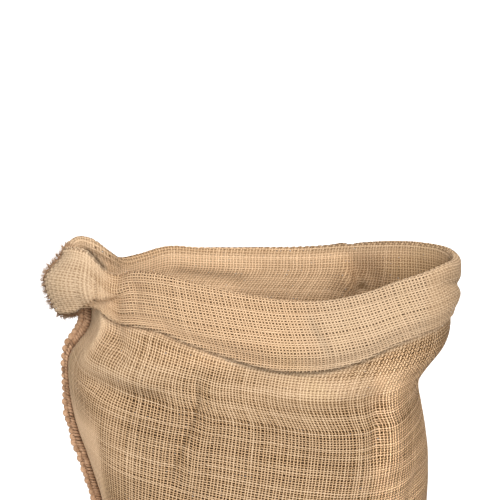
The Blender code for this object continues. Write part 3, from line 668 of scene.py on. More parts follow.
def painted_gap_shade(p, v, u):
    """How dark the painted shade in the gaps between yarns is: full where only the sack's inside lies behind them."""
    back = behind(p)
    folded = smooth((v - RIM_AT + 4.0) / 6.0)  # the body's cloth lies behind the cuff
    gap_shade = 1.0 - 0.32 * folded
    # daylight comes through the back of the mouth
    gap_shade = gap_shade * (1 - 0.54 * back * (1 - folded) * smooth((p[..., 2] - 500.0) / 60.0))
    # just under the cuff the weave is pushed close
    gap_shade = gap_shade * (1 - 0.72 * spot(p, 78.0, 512.0, 86.0, 18.0) * (1 - back) * (1 - folded))
    gap_shade = gap_shade * (1 - 0.25 * smooth((-110.0 - p[..., 0]) / 40.0) * (1 - smooth((p[..., 2] - 500.0) / 40.0)))
    # pulled flat between the ear and the long crease
    gap_shade = gap_shade * (1 - 0.16 * spot(p, -108.0, 552.0, 56.0, 30.0) * (1 - back) * (1 - folded))
    values = mouth((u % 1.0).ravel())[0]
    hem = (values[:, 2] - values[:, 3]).reshape(u.shape)
    gap_shade = gap_shade * (1 - 0.7 * np.exp(-(((hem - 3.0 - p[..., 2]) / 4.5) ** 2)) * (1 - folded) * (1 - back))
    gap_shade = gap_shade * (1 - 0.58 * smooth((p[..., 0] - 10.0) / 90.0) * folded * (1 - back))
    gap_shade = gap_shade * (1 - 0.55 * spot(p, -164.0, 634.0, 30.0, 15.0))  # the ear's rolled back lip
    gap_shade = gap_shade * (1 - 0.5 * back * np.exp(-(((v - RIM_AT) / 9.0) ** 2)))
    near = np.minimum(u % 1.0, 1 - u % 1.0) * GIRTH
    strip = 6.0 + 22.0 * (1 - smooth((p[..., 2] - 450.0) / 40.0))
    gap_shade = gap_shade * (0.25 + 0.75 * smooth((near - strip) / 11.0))  # doubled cloth beside the seam
    gap_shade = gap_shade * (1 - 0.50 * spot(p, -190.0, 605.0, 40.0, 48.0) * (1 - back))
    gap_shade = gap_shade * (1 - 0.40 * spot(p, -30.0, 541.0, 44.0, 10.0) * (1 - back) * (1 - folded))
    gap_shade = gap_shade * (1 - 0.92 * beside(p))
    # painted shade along the crease: its gaps are painted fully dark
    far, inside = line_distance(p.reshape(-1, 3)[:, [0, 2]], CREASES[1]["line"])
    line = (np.exp(-((far / 2.6) ** 2)) * inside).reshape(u.shape) * (1 - back) * (1 - folded)
    gap_shade = gap_shade + (1.0 - gap_shade) * line
    gap_shade = gap_shade * (1 - 0.35 * spot(p, -150.0, 545.0, 26.0, 16.0) * (1 - back))
    gap_shade = gap_shade * (1 - 0.30 * spot(p, -112.0, 532.0, 42.0, 13.0) * (1 - back))
    return gap_shade


def painted_light_and_shade(p, v, u):
    """Painted light and shade on the yarns, against the cuff's: the body is painted a little darker than the cuff, the
    inside of the mouth's back is painted lit, and creases, the slit, the pocket and the line under the hem are painted
    in shade.
    """
    back = behind(p)
    folded = smooth((v - RIM_AT + 4.0) / 6.0)
    # painted light: the cuff, facing up, is painted brighter than the body
    pale = 0.955 + 0.24 * folded
    # painted light on the body just under the cuff
    pale = pale * (1 + 0.14 * smooth((p[..., 2] - 520.0) / 25.0) * smooth((60.0 - p[..., 0]) / 60.0) * (1 - back) * (1 - folded))
    pale = pale * (1 + 0.08 * spot(p, 78.0, 512.0, 90.0, 19.0) * (1 - back) * (1 - folded))
    # painted light on the inside of the mouth's back, most left of its fold
    lit = 1 - smooth((p[..., 0] - 78.0) / 34.0)
    pale = pale + (0.64 * lit + 0.20 * (1 - lit)) * back * (1 - folded) * smooth((p[..., 2] - 520.0) / 60.0)
    # the ear is painted darker, and the cuff's right end, turning away, is painted in shade
    pale = pale * (1 - 0.25 * spot(p, -190.0, 605.0, 44.0, 50.0))
    pale = pale * (1 - 0.14 * smooth((p[..., 0] - 30.0) / 60.0) * folded)
    # painted lighter on the smooth doubled strip beside the seam
    pale = pale * (1 + 0.12 * beside(p))
    # painted shade in the long crease, and painted light on the ridge beside it
    far, inside = line_distance(p.reshape(-1, 3)[:, [0, 2]], CREASES[1]["line"])
    line = (np.exp(-((far / 2.3) ** 2)) * inside).reshape(u.shape) * (1 - back) * (1 - folded)
    ridge = (np.exp(-(((far - 5.0) / 3.0) ** 2)) * inside).reshape(u.shape) * (1 - back) * (1 - folded)
    pale = pale * (1 - 0.46 * line + 0.12 * ridge)
    # painted light on the lower right of the body
    pale = pale * (1 + 0.66 * smooth((p[..., 0] - 118.0) / 40.0) * (1 - folded) * (1 - smooth((p[..., 2] - 530.0) / 24.0)))
    # painted shade in the soft dent across the cuff
    far, inside = line_distance(p.reshape(-1, 3)[:, [0, 2]], CUFF_CREASES[0]["line"])
    pale = pale * (1 - 0.16 * (np.exp(-((far / 3.0) ** 2)) * inside).reshape(u.shape) * folded * (1 - back))
    # painted lighter and darker spots on the body, and lighter towards the lower left
    pale = pale * (1 + 0.12 * spot(p, -30.0, 541.0, 44.0, 10.0) * (1 - back) * (1 - folded))
    pale = pale * (1 - 0.05 * spot(p, -116.0, 510.0, 40.0, 34.0) * (1 - back) * (1 - folded))
    pale = pale * (1 + 0.12 * smooth((-110.0 - p[..., 0]) / 40.0) * (1 - smooth((p[..., 2] - 500.0) / 40.0)))
    # the line of shade where the hem lies on the body
    values = mouth((u % 1.0).ravel())[0]
    hem = (values[:, 2] - values[:, 3]).reshape(u.shape)
    under = np.exp(-(((hem - 1.6 - p[..., 2]) / 2.6) ** 2)) * (1 - folded)
    edge = smooth((v - HEM_AT + 2.5) / 2.0)
    fade = 1 - smooth((p[..., 0] - 130.0) / 50.0)
    # painted shade in the slit between the ear and its rolled back lip
    seen = np.stack([p[..., 0].ravel(), (p[..., 2] * 0.9703 + p[..., 1] * 0.2419).ravel()], 1)
    far, inside = line_distance(seen, ((-174.0, 621.0), (-166.0, 613.5), (-158.5, 605.0), (-153.5, 598.5), (-150.0, 594.0)))
    slit = (np.exp(-((far / 1.9) ** 2)) * inside).reshape(u.shape) * (1 - smooth((p[..., 1] - 30.0) / 10.0))
    pale = pale * (1 - 0.72 * slit)
    # painted shade in the pocket at the foot of the fold inside the mouth
    pale = pale * (1 - 0.8 * spot(p, 119.0, 577.0, 6.0, 5.0) * back * (1 - folded))
    # painted shade in that line on the right half, painted light on the left half, and painted shade along the hem's
    # own edge where it turns under
    far_half = smooth((p[..., 0] + 50.0) / 40.0)
    return pale * (1 + (0.22 * under * (1 - far_half) - 0.52 * under * far_half - 0.16 * edge) * fade * (1 - back))


def yarn_widths(count, length_points, along, base_width, seed, spread):
    """Widths (count, points): each yarn has its own, with slow changes and a few slubs."""
    own = np.random.default_rng(seed)
    each = own.normal(0, spread, count)
    out = np.empty((count, length_points))
    for k in range(count):
        w = base_width * (1 + each[k] + 0.10 * wave(along + 3000 * k, 19.0, seed + 1) + 0.09 * wave(along + 1000 * k, 6.0, seed + 2))
        if own.random() < 0.16:  # a slub: a thick soft stretch of yarn
            mid, run = own.uniform(along[0], along[-1]), own.uniform(10, 34)
            w = w * (1 + own.uniform(0.3, 0.7) * np.exp(-(((along - mid) / run) ** 2)))
        out[k] = w
    return out


CLOSE, CLOSE_RUN = 0.42, 46.0  # upright yarns crowd towards the seam by this share, over this distance
around = np.linspace(0, 1, 4001)
crowd = 1 + CLOSE * np.exp(-((np.minimum(around, 1 - around) * GIRTH / CLOSE_RUN) ** 2))
# and stand apart where the cloth is stretched round the far end
crowd -= 0.14 * np.exp(-(((np.abs(around - 0.5) * GIRTH - 54.0) / 34.0) ** 2))
crowd = np.concatenate([[0], np.cumsum((crowd[1:] + crowd[:-1]) / 2 / 4000)])
WARPS = int(round(crowd[-1] * GIRTH / WARP / 2)) * 2
WEFTS = int(round((V_END - 3.0) / WEFT))
WARP_U = (np.arange(WARPS) + 0.5) / WARPS
WARP_U = WARP_U + 0.09 / WARPS * np.random.default_rng(5).normal(0, 1, WARPS)
WARP_U = np.interp(WARP_U, crowd / crowd[-1], around)
WEFT_V = 2.0 + (np.arange(WEFTS) + 0.5) / WEFTS * (V_END - 2.5)
WEFT_V = WEFT_V + 0.09 * WEFT * np.random.default_rng(6).normal(0, 1, WEFTS)
WEFT_V = np.clip(WEFT_V, 0.8, V_END - 0.3)
WEFT_V.sort()

# crossings: rows are wefts, columns are warps
uu = np.tile(WARP_U, (WEFTS, 1))
vv = np.tile(WEFT_V[:, None], (1, WARPS))
flat = np.column_stack([uu.ravel() * GIRTH, vv.ravel()])
uu = uu + lean(uu, vv)
# yarns wander a little, neighbours together and each on its own
uu = uu + (1.3 * noise(flat, (110.0, 90.0), 21, GIRTH).reshape(uu.shape) + 0.14 * noise(flat, (3.4, 17.0), 22, GIRTH).reshape(uu.shape)) / GIRTH
vv = vv + 1.2 * noise(flat, (110.0, 70.0), 23, GIRTH).reshape(vv.shape) + 0.13 * noise(flat, (19.0, 2.5), 24, GIRTH).reshape(vv.shape)
vv = vv + tilt(uu, vv) + 0.58 * TILT * smooth((vv - 60.0) / 320.0) * (1 - 0.82 * smooth((vv - RIM_AT + 95.0) / 90.0))
# below the rim the level yarns keep their pitch, and what is left over is turned in at the hem
scale = np.interp(uu % 1.0, np.arange(COLUMNS + 1) / COLUMNS, np.append(CUFF_SCALE, CUFF_SCALE[0]))
vv = np.where(vv > RIM_AT, RIM_AT + (vv - RIM_AT) * scale, vv)
vv = np.clip(vv, 0.3, LENGTH[-1] - 0.1)
CROSS, OUT = at(uu, vv)
UP = ((np.arange(WEFTS)[:, None] + np.arange(WARPS)[None, :]) % 2) * 2.0 - 1.0  # +1 where the warp is on top
WIDE = density(CROSS)
# painted shade for the gaps between yarns, and painted light and shade for the yarns
GAP_SHADE = painted_gap_shade(CROSS, vv, uu)
LIGHT_AND_SHADE = painted_light_and_shade(CROSS, vv, uu)


def unit(a):
    return a / (np.linalg.norm(a, axis=-1)[..., None] + 1e-12)


def ribbons():
    """Edges, widths and attributes of both sets of yarns at every crossing."""
    along_v = np.empty_like(CROSS)
    along_v[1:-1] = CROSS[2:] - CROSS[:-2]
    along_v[0], along_v[-1] = CROSS[1] - CROSS[0], CROSS[-1] - CROSS[-2]
    along_u = np.roll(CROSS, -1, 1) - np.roll(CROSS, 1, 1)
    pitch_u = np.linalg.norm(along_u, axis=2) / 2
    pitch_v = np.linalg.norm(along_v, axis=2) / 2
    pitch_v[0] *= 2
    pitch_v[-1] *= 2
    side_warp = unit(np.cross(unit(along_v), OUT))
    side_weft = unit(np.cross(OUT, unit(along_u)))
    back = behind(CROSS)
    pitch_across = np.abs((along_u * side_warp).sum(2)) / 2
    pitch_up = np.abs((along_v * side_weft).sum(2)) / 2
    pitch_up[0] *= 2
    pitch_up[-1] *= 2
    firm_warp = yarn_widths(WARPS, WEFTS, WEFT_V, WARP_W, 31, 0.06).T * (1 + WIDE)
    firm_weft = yarn_widths(WEFTS, WARPS, WARP_U * GIRTH, WEFT_W, 41, 0.13) * (1 + WIDE)
    cuffed = smooth((vv - RIM_AT - 2.0) / 6.0)
    firm_warp, firm_weft = firm_warp * (1 - 0.10 * cuffed), firm_weft * (1 + 0.15 * cuffed)
    # a yarn is squeezed where its neighbours crowd it
    firm_warp = np.clip(firm_warp, 0.4, 0.84 * pitch_across)
    firm_weft = np.clip(firm_weft, 0.4, 0.84 * pitch_up)
    warp_up, weft_up = (UP + 1) / 2, (1 - UP) / 2
    fill_over, fill_under = OVER_FILL - 0.18 * cuffed, UNDER_FILL - 0.30 * cuffed
    inside = back * (1 - cuffed) * smooth((CROSS[..., 2] - 530.0) / 12.0)
    fill_under = fill_under + 0.28 * inside
    # close the cloth where daylight would come through it: the ear, the right end of the cuff, the rim
    shut = np.maximum(1 - smooth((uu % 1.0 * GIRTH - 62.0) / 20.0), smooth((uu % 1.0 * GIRTH - 935.0) / 20.0))
    shut = np.maximum(shut, smooth((CROSS[..., 0] - 176.0) / 16.0)) * cuffed
    shut = np.maximum(shut, np.exp(-(((vv - RIM_AT - 4.0) / 12.0) ** 2)) * back)
    shut = np.maximum(shut, smooth((uu % 1.0 * GIRTH - 850.0) / 30.0) * smooth((vv - RIM_AT + 40.0) / 10.0) * (1 - smooth((vv - RIM_AT - 12.0) / 8.0)))
    beside_seam = np.minimum(uu % 1.0, 1 - uu % 1.0) * GIRTH
    shut = np.maximum(shut, 1 - smooth((beside_seam - 12.0) / 10.0))
    shut = np.maximum(shut, beside(CROSS))
    shut = np.maximum(shut, np.minimum(1.0, 1.4 * spot(CROSS, 119.0, 577.0, 16.0, 14.0)) * back)
    fill_over, fill_under = fill_over + (0.98 - fill_over) * shut, fill_under + (0.96 - fill_under) * shut
    w_warp = np.clip(np.maximum(firm_warp * 1.06, (fill_under + (fill_over - fill_under) * warp_up) * pitch_across), 0, 0.98 * pitch_across)
    w_weft = np.clip(np.maximum(firm_weft * 1.06, (fill_under + (fill_over - fill_under) * weft_up) * pitch_up), 0, 0.98 * pitch_up)
    # the back is closed by the loose sides of its level yarns
    back = smooth((CROSS[..., 1] - 10.0) / 20.0) * (1 - cuffed) * (1 - smooth((CROSS[..., 2] - 540.0) / 12.0))
    w_warp = w_warp * (1 - back) + 0.94 * firm_warp * back
    w_weft = w_weft * (1 - back) + 1.10 * pitch_up * back
    # the cloth's middle lies half its thickness inside the solid's face
    middle = CROSS - OUT * 0.8
    rise = RISE * UP * (1 - 0.75 * beside(CROSS))
    warp_mid = middle + OUT * rise[:, :, None]
    weft_mid = middle - OUT * rise[:, :, None]
    return warp_mid, side_warp, w_warp, firm_warp / w_warp, firm_weft / pitch_up, weft_mid, side_weft, w_weft, firm_weft / w_weft, firm_warp / pitch_across


WARP_MID, SIDE_WARP, W_WARP, CORE_WARP, OVER_WARP, WEFT_MID, SIDE_WEFT, W_WEFT, CORE_WEFT, OVER_WEFT = ribbons()


def make_mesh(name, verts, quads, made, uvs=None, floats=None, smooth_shade=True, bake=None):
    """A mesh from arrays: verts (n, 3) in mm, quads (m, 4); uvs and floats are by vertex."""
    verts = (np.asarray(verts, float) - np.array(CENTRE)) * MM
    quads = np.asarray(quads, np.int64)
    mesh = bpy.data.meshes.new(name)
    mesh.vertices.add(len(verts))
    mesh.vertices.foreach_set("co", verts.astype(np.float32).ravel())
    mesh.loops.add(quads.size)
    mesh.loops.foreach_set("vertex_index", quads.ravel().astype(np.int32))
    mesh.polygons.add(len(quads))
    mesh.polygons.foreach_set("loop_start", np.arange(0, quads.size, 4, dtype=np.int32))
    mesh.polygons.foreach_set("loop_total", np.full(len(quads), 4, np.int32))
    mesh.update(calc_edges=True)
    if bake is not None:
        layer = mesh.uv_layers.new(name="OFBake")
        layer.data.foreach_set("uv", np.asarray(bake, np.float32)[quads.ravel()].ravel())
    if uvs is not None:
        layer = mesh.uv_layers.new(name="yarn")
        layer.data.foreach_set("uv", np.asarray(uvs, np.float32)[quads.ravel()].ravel())
    for key, values in (floats or {}).items():
        attribute = mesh.attributes.new(key, "FLOAT", "POINT")
        attribute.data.foreach_set("value", np.asarray(values, np.float32))
    mesh.polygons.foreach_set("use_smooth", np.full(len(quads), smooth_shade))
    mesh.materials.append(made)
    mesh.validate()
    thing = bpy.data.objects.new(name, mesh)
    bpy.context.scene.collection.objects.link(thing)
    return thing


WARP_TONE = np.random.default_rng(51).uniform(0.25, 0.75, WARPS)
WEFT_TONE = np.random.default_rng(52).uniform(0, 1, WEFTS)


def cloth_piece(name, rows, cols, made):
    """The warps and wefts of one panel: rows and cols are index arrays of the crossings it takes."""
    rows, cols = np.asarray(rows), np.asarray(cols)
    verts, quads, uvs, bake, tone, lift, shade, gap_shades, cores, over, pale = [], [], [], [], [], [], [], [], [], [], []
    count = 0
    sets = (
        (WARP_MID, SIDE_WARP, W_WARP, CORE_WARP, OVER_WARP, WARP_TONE, UP, True),
        (WEFT_MID, SIDE_WEFT, W_WEFT, CORE_WEFT, OVER_WEFT, WEFT_TONE, -UP, False),
    )
    for mid, side, width, core, other, tones, up, is_warp in sets:
        m = mid[np.ix_(rows, cols)]
        s = side[np.ix_(rows, cols)]
        w = width[np.ix_(rows, cols)]
        a, b = m - s * w[..., None] / 2, m + s * w[..., None] / 2
        nr, nc = len(rows), len(cols)
        block = np.stack([a, b], axis=2)  # (nr, nc, 2, 3)
        index = count + np.arange(nr * nc * 2).reshape(nr, nc, 2)
        verts.append(block.reshape(-1, 3))
        count += nr * nc * 2
        if is_warp:
            q = np.stack([index[:-1, :, 0], index[:-1, :, 1], index[1:, :, 1], index[1:, :, 0]], axis=-1)
            along = np.repeat(WEFT_V[rows][:, None], nc, 1)
            own = np.repeat(tones[cols][None, :], nr, 0)
            bu = np.stack([np.repeat(np.arange(nc)[None, :], nr, 0) + 0.04, np.repeat(np.arange(nc)[None, :], nr, 0) + 0.96], -1) / nc * 0.49
            bv = np.repeat((np.arange(nr)[:, None] / (nr - 1))[:, :, None] * 0.996 + 0.002, nc, 1)
            bv = np.repeat(bv, 2, 2)
        else:
            q = np.stack([index[:, :-1, 0], index[:, 1:, 0], index[:, 1:, 1], index[:, :-1, 1]], axis=-1)
            along = np.repeat((WARP_U[cols % WARPS] * GIRTH)[None, :], nr, 0)
            own = np.repeat(tones[rows][:, None], nc, 1)
            bv = np.stack([np.repeat(np.arange(nr)[:, None], nc, 1) + 0.04, np.repeat(np.arange(nr)[:, None], nc, 1) + 0.96], -1) / nr
            bu = np.repeat((np.arange(nc)[None, :] / (nc - 1))[:, :, None] * 0.49 + 0.505, nr, 0)
            bu = np.repeat(bu, 2, 2)
        quads.append(q.reshape(-1, 4))
        uvs.append(np.stack([np.repeat(along[..., None], 2, 2), np.repeat(np.repeat(np.array([[[0.0, 1.0]]]), nr, 0), nc, 1)], -1).reshape(-1, 2))
        bake.append(np.stack([bu, bv], -1).reshape(-1, 2))
        tone.append(np.repeat(own[..., None], 2, 2).ravel())
        lift.append(np.repeat((up[np.ix_(rows, cols)] * 0.5 + 0.5)[..., None], 2, 2).ravel())
        shade.append(np.full(nr * nc * 2, 1.0 if is_warp else 0.0))
        gap_shades.append(np.repeat(GAP_SHADE[np.ix_(rows, cols)][..., None], 2, 2).ravel())
        cores.append(np.repeat(core[np.ix_(rows, cols)][..., None], 2, 2).ravel())
        over.append(np.repeat(other[np.ix_(rows, cols)][..., None], 2, 2).ravel())
        pale.append(np.repeat(LIGHT_AND_SHADE[np.ix_(rows, cols)][..., None], 2, 2).ravel())
    piece = make_mesh(
        name,
        np.vstack(verts),
        np.vstack(quads),
        made,
        np.vstack(uvs),
        {
            "tone": np.concatenate(tone),
            "lift": np.concatenate(lift),
            "warp": np.concatenate(shade),
            # the painted shade in the gaps, and the painted light and shade on the yarns
            "gap_shade": np.concatenate(gap_shades),
            "core": np.concatenate(cores),
            "over": np.concatenate(over),
            "pale": np.concatenate(pale),
        },
        bake=np.vstack(bake),
    )
    return piece


# =============================================================================
# Materials
# =============================================================================
class Nodes:
    """Short hand for building a node material."""

    def __init__(self, name):
        self.material = bpy.data.materials.new(name)
        self.material.use_nodes = True
        self.tree = self.material.node_tree
        self.shader = self.tree.nodes["Principled BSDF"]

    def add(self, kind, **values):
        node = self.tree.nodes.new(kind)
        for key, value in values.items():
            if hasattr(node, key) and not key[0].isupper():
                setattr(node, key, value)
            else:
                node.inputs[key.replace("_", " ")].default_value = value
        return node

    def join(self, a, b):
        self.tree.links.new(a, b)

    def math(self, op, a, b=None, clamp=False):
        node = self.tree.nodes.new("ShaderNodeMath")
        node.operation = op
        node.use_clamp = clamp
        for k, value in enumerate((a, b)):
            if value is None:
                continue
            if isinstance(value, (int, float)):
                node.inputs[k].default_value = value
            else:
                self.join(value, node.inputs[k])
        return node.outputs[0]

    def mix(self, factor, a, b, kind="MIX"):
        node = self.tree.nodes.new("ShaderNodeMix")
        node.data_type = "RGBA"
        node.blend_type = kind
        for k, value in ((0, factor), (6, a), (7, b)):
            if isinstance(value, (int, float)):
                node.inputs[k].default_value = value
            elif isinstance(value, tuple):
                node.inputs[k].default_value = (*value, 1)
            else:
                self.join(value, node.inputs[k])
        return node.outputs[2]

    def noise(self, vector, scale, detail=2.0, rough=0.5):
        node = self.tree.nodes.new("ShaderNodeTexNoise")
        node.inputs["Scale"].default_value = scale
        node.inputs["Detail"].default_value = detail
        node.inputs["Roughness"].default_value = rough
        self.join(vector, node.inputs["Vector"])
        return node.outputs["Fac"]

    def span(self, value, low, high, to_low=0.0, to_high=1.0):
        node = self.tree.nodes.new("ShaderNodeMapRange")
        node.clamp = True
        for k, v in enumerate((low, high, to_low, to_high)):
            node.inputs[k + 1].default_value = v
        self.join(value, node.inputs[0])
        return node.outputs[0]


def jute(name, dark, light, deep, yellow, bump=0.35, hole_shade=(0.024, 0.010, 0.003), woven=False, under_shade=0.38):
    """Jute yarn: a tone of its own for each yarn, fibres along it, painted shade where it dives under, patches of
    yellower fibre; woven cloth also gets painted shade in its gaps and painted light and shade from its pale attribute.
    """
    n = Nodes(name)
    uv = n.add("ShaderNodeUVMap", uv_map="yarn").outputs[0]
    split = n.tree.nodes.new("ShaderNodeSeparateXYZ")
    n.join(uv, split.inputs[0])
    along, across = split.outputs[0], split.outputs[1]
    tone = n.add("ShaderNodeAttribute", attribute_name="tone").outputs["Fac"]
    lift = n.add("ShaderNodeAttribute", attribute_name="lift").outputs["Fac"]
    # fibres: noise drawn out along the yarn
    joined = n.tree.nodes.new("ShaderNodeCombineXYZ")
    n.join(n.math("MULTIPLY", along, 0.45), joined.inputs[0])
    n.join(n.math("MULTIPLY", across, 5.0), joined.inputs[1])
    n.join(n.math("MULTIPLY", tone, 91.0), joined.inputs[2])
    fibre = n.noise(joined.outputs[0], 1.0, 3.0, 0.6)
    slow = n.tree.nodes.new("ShaderNodeCombineXYZ")
    n.join(n.math("MULTIPLY", along, 0.028), slow.inputs[0])
    n.join(n.math("MULTIPLY", tone, 57.0), slow.inputs[1])
    drift = n.noise(slow.outputs[0], 1.0, 2.0, 0.55)
    place = n.add("ShaderNodeTexCoord").outputs["Object"]
    patch = n.noise(place, 14.0, 2.0, 0.5)
    stain = n.noise(place, 6.0, 3.0, 0.6)
    # yarn tone
    level = n.math("ADD", n.math("MULTIPLY", tone, 0.28), n.math("MULTIPLY", drift, 0.62))
    level = n.math("ADD", level, n.math("MULTIPLY", n.math("SUBTRACT", fibre, 0.5), 0.8))
    level = n.span(level, 0.08, 0.86)
    colour = n.mix(level, dark, light)
    colour = n.mix(n.math("MULTIPLY", n.span(patch, 0.58, 0.74), 0.22), colour, yellow)
    colour = n.mix(n.span(stain, 0.55, 0.8, 0.0, 0.18), colour, dark)
    # a yarn is in its neighbours' shade where it passes under them, less where the cloth is pulled flat
    shade = n.span(lift, 0.0, 0.75, under_shade, 0.0)
    if woven:
        gap_shade = n.add("ShaderNodeAttribute", attribute_name="gap_shade").outputs["Fac"]
        shade = n.math("MULTIPLY", shade, n.span(gap_shade, 0.05, 0.6, 0.12, 1.0))
    colour = n.mix(shade, colour, deep)
    edge = n.math("ABSOLUTE", n.math("SUBTRACT", n.math("MULTIPLY", across, 2.0), 1.0))
    if woven:
        core = n.add("ShaderNodeAttribute", attribute_name="core").outputs["Fac"]
        side = n.math("DIVIDE", edge, core, clamp=True)
    else:
        side = edge
    # painted shade on the yarn's rounded sides
    colour = n.mix(n.span(side, 0.5, 1.0, 0.0, 0.34), colour, deep)
    if woven:
        pale = n.add("ShaderNodeAttribute", attribute_name="pale").outputs["Fac"]
        # mixed toward grey where the painted light is low: the body is a little greyer than the cuff
        colour = n.mix(n.span(pale, 0.96, 1.18, 0.30, 0.0), colour, (0.575, 0.470, 0.335))
        # painted light and shade: the colour is scaled by the pale attribute
        scale = n.tree.nodes.new("ShaderNodeVectorMath")
        scale.operation = "SCALE"
        n.join(colour, scale.inputs[0])
        n.join(n.math("MINIMUM", pale, 1.10), scale.inputs["Scale"])
        # painted light: where pale passes 1.10 a paler colour is added, standing for daylight through the cloth
        painted_light_add = n.tree.nodes.new("ShaderNodeVectorMath")
        painted_light_add.operation = "SCALE"
        painted_light_add.inputs[0].default_value = (0.60, 0.435, 0.28)
        n.join(n.math("MAXIMUM", n.math("SUBTRACT", pale, 1.10), 0.0), painted_light_add.inputs["Scale"])
        total = n.tree.nodes.new("ShaderNodeVectorMath")
        total.operation = "ADD"
        n.join(scale.outputs[0], total.inputs[0])
        n.join(painted_light_add.outputs[0], total.inputs[1])
        colour = total.outputs[0]
        # beside each gap the yarn's loose sides lie deep in shade
        over = n.add("ShaderNodeAttribute", attribute_name="over").outputs["Fac"]
        between = n.math("SUBTRACT", 1.0, n.math("ABSOLUTE", n.math("SUBTRACT", n.math("MULTIPLY", lift, 2.0), 1.0)))
        far_side = n.math("SUBTRACT", edge, core)
        far_end = n.math("SUBTRACT", between, over)
        # painted warm shade round each gap, standing for light thrown from yarn to yarn
        warm_shade_mask = n.math("MINIMUM", n.span(far_side, -0.50, -0.02), n.span(far_end, -0.55, -0.04))
        colour = n.mix(n.math("MULTIPLY", n.math("MULTIPLY", warm_shade_mask, gap_shade), 0.82), colour, (0.37, 0.178, 0.045))
        # painted shade: the yarn's loose sides at each gap are painted nearly black
        hole_shade_mask = n.math("MINIMUM", n.span(far_side, -0.16, 0.02), n.span(far_end, -0.22, 0.02))
        colour = n.mix(n.math("MULTIPLY", hole_shade_mask, gap_shade), colour, hole_shade)
    n.join(colour, n.shader.inputs["Base Color"])
    rough = n.span(fibre, 0.2, 0.8, 0.82, 0.98)
    n.join(rough, n.shader.inputs["Roughness"])
    n.shader.inputs["Specular IOR Level"].default_value = 0.06
    # relief: the yarn is round, with ridges of fibre
    round_ = n.math("SQRT", n.math("SUBTRACT", 1.0, n.math("MULTIPLY", n.math("MULTIPLY", side, side), 0.96)))
    height = n.math("ADD", round_, n.math("MULTIPLY", fibre, 0.45))
    height = n.math("ADD", height, n.math("MULTIPLY", lift, 0.35))
    relief = n.add("ShaderNodeBump", Strength=bump, Distance=0.0006)
    n.join(height, relief.inputs["Height"])
    n.join(relief.outputs[0], n.shader.inputs["Normal"])
    return n.material


TAN_DARK = (0.50, 0.330, 0.200)
TAN_LIGHT = (0.77, 0.56, 0.365)
# the colour of painted shade
TAN_SHADE = (0.19, 0.092, 0.032)
TAN_YELLOW = (0.62, 0.455, 0.225)
cloth_look = jute("jute_cloth", TAN_DARK, TAN_LIGHT, TAN_SHADE, TAN_YELLOW, woven=True)
twine_look = jute("brown_twine", (0.24, 0.128, 0.064), (0.68, 0.44, 0.28), (0.085, 0.038, 0.017), (0.50, 0.34, 0.20), 0.6, under_shade=0.85)
fray_look = jute("frayed_fibre", (0.30, 0.165, 0.088), (0.66, 0.44, 0.275), (0.12, 0.058, 0.028), (0.50, 0.34, 0.18), 0.3, under_shade=0.7)

# =============================================================================
# Cloth panels: front, back, and the cuff
# =============================================================================
half = WARPS // 2
cuff_row = int(np.searchsorted(WEFT_V, RIM_AT + 6.0))
front_cols = np.arange(0, half + 1)
back_cols = np.arange(half, WARPS + 1) % WARPS
all_cols = np.arange(0, WARPS + 1) % WARPS
front_cloth = cloth_piece("sack_front", np.arange(0, cuff_row + 1), front_cols, cloth_look)
back_cloth = cloth_piece("sack_back", np.arange(0, cuff_row + 1), back_cols, cloth_look)
cuff_cloth = cloth_piece("sack_cuff", np.arange(cuff_row, WEFTS), all_cols, cloth_look)


# =============================================================================
# Stitching and frayed edges
# =============================================================================
class Tubes:
    """Many thin tubes gathered in one mesh."""

    def __init__(self):
        self.verts, self.quads, self.uvs, self.tone, self.lift = [], [], [], [], []
        self.count = 0

    def add(self, path, radius, sides=5, tone=0.5, lift=1.0):
        path = np.asarray(path, float)
        n = len(path)
        radius = np.broadcast_to(radius, (n,))
        run = unit(np.gradient(path, axis=0))
        helper = np.array([0.31, 0.27, 0.91])
        if abs(run[0] @ helper) > 0.9:
            helper = np.array([0.9, -0.3, 0.1])
        across = np.empty_like(run)
        a = helper - (helper @ run[0]) * run[0]
        for k in range(n):
            a = a - (a @ run[k]) * run[k]
            a = a / (np.linalg.norm(a) + 1e-12)
            across[k] = a
        other = np.cross(run, across)
        angle = np.arange(sides) * 2 * math.pi / sides
        ring = path[:, None, :] + radius[:, None, None] * (
            across[:, None, :] * np.cos(angle)[None, :, None] + other[:, None, :] * np.sin(angle)[None, :, None]
        )
        index = self.count + np.arange(n * sides).reshape(n, sides)
        self.verts.append(ring.reshape(-1, 3))
        nxt = np.roll(index, -1, 1)
        q = np.stack([index[:-1], nxt[:-1], nxt[1:], index[1:]], -1).reshape(-1, 4)
        self.quads.append(q)
        # both ends are closed
        for row, flip in ((index[0], True), (index[-1], False)):
            row = row[::-1] if flip else row
            if sides == 4:
                self.quads.append(row[None])
            elif sides == 3:
                self.quads.append(np.array([[row[0], row[1], row[2], row[2]]]))
            elif sides == 7:
                self.quads.append(np.array([[row[0], row[1], row[2], row[3]], [row[0], row[3], row[4], row[5]], [row[0], row[5], row[6], row[6]]]))
            elif sides == 6:
                self.quads.append(np.array([[row[0], row[1], row[2], row[3]], [row[0], row[3], row[4], row[5]]]))
        length = np.concatenate([[0], np.cumsum(np.linalg.norm(np.diff(path, axis=0), axis=1))])
        self.uvs.append(np.column_stack([np.repeat(length, sides), np.tile(np.arange(sides) / sides, n)]))
        self.tone.append(np.full(n * sides, tone))
        self.lift.append(np.repeat(np.broadcast_to(lift, (n,)), sides))
        self.count += n * sides

    def build(self, name, made):
        return make_mesh(
            name,
            np.vstack(self.verts),
            np.vstack(self.quads),
            made,
            np.vstack(self.uvs),
            {"tone": np.concatenate(self.tone), "lift": np.concatenate(self.lift)},
        )


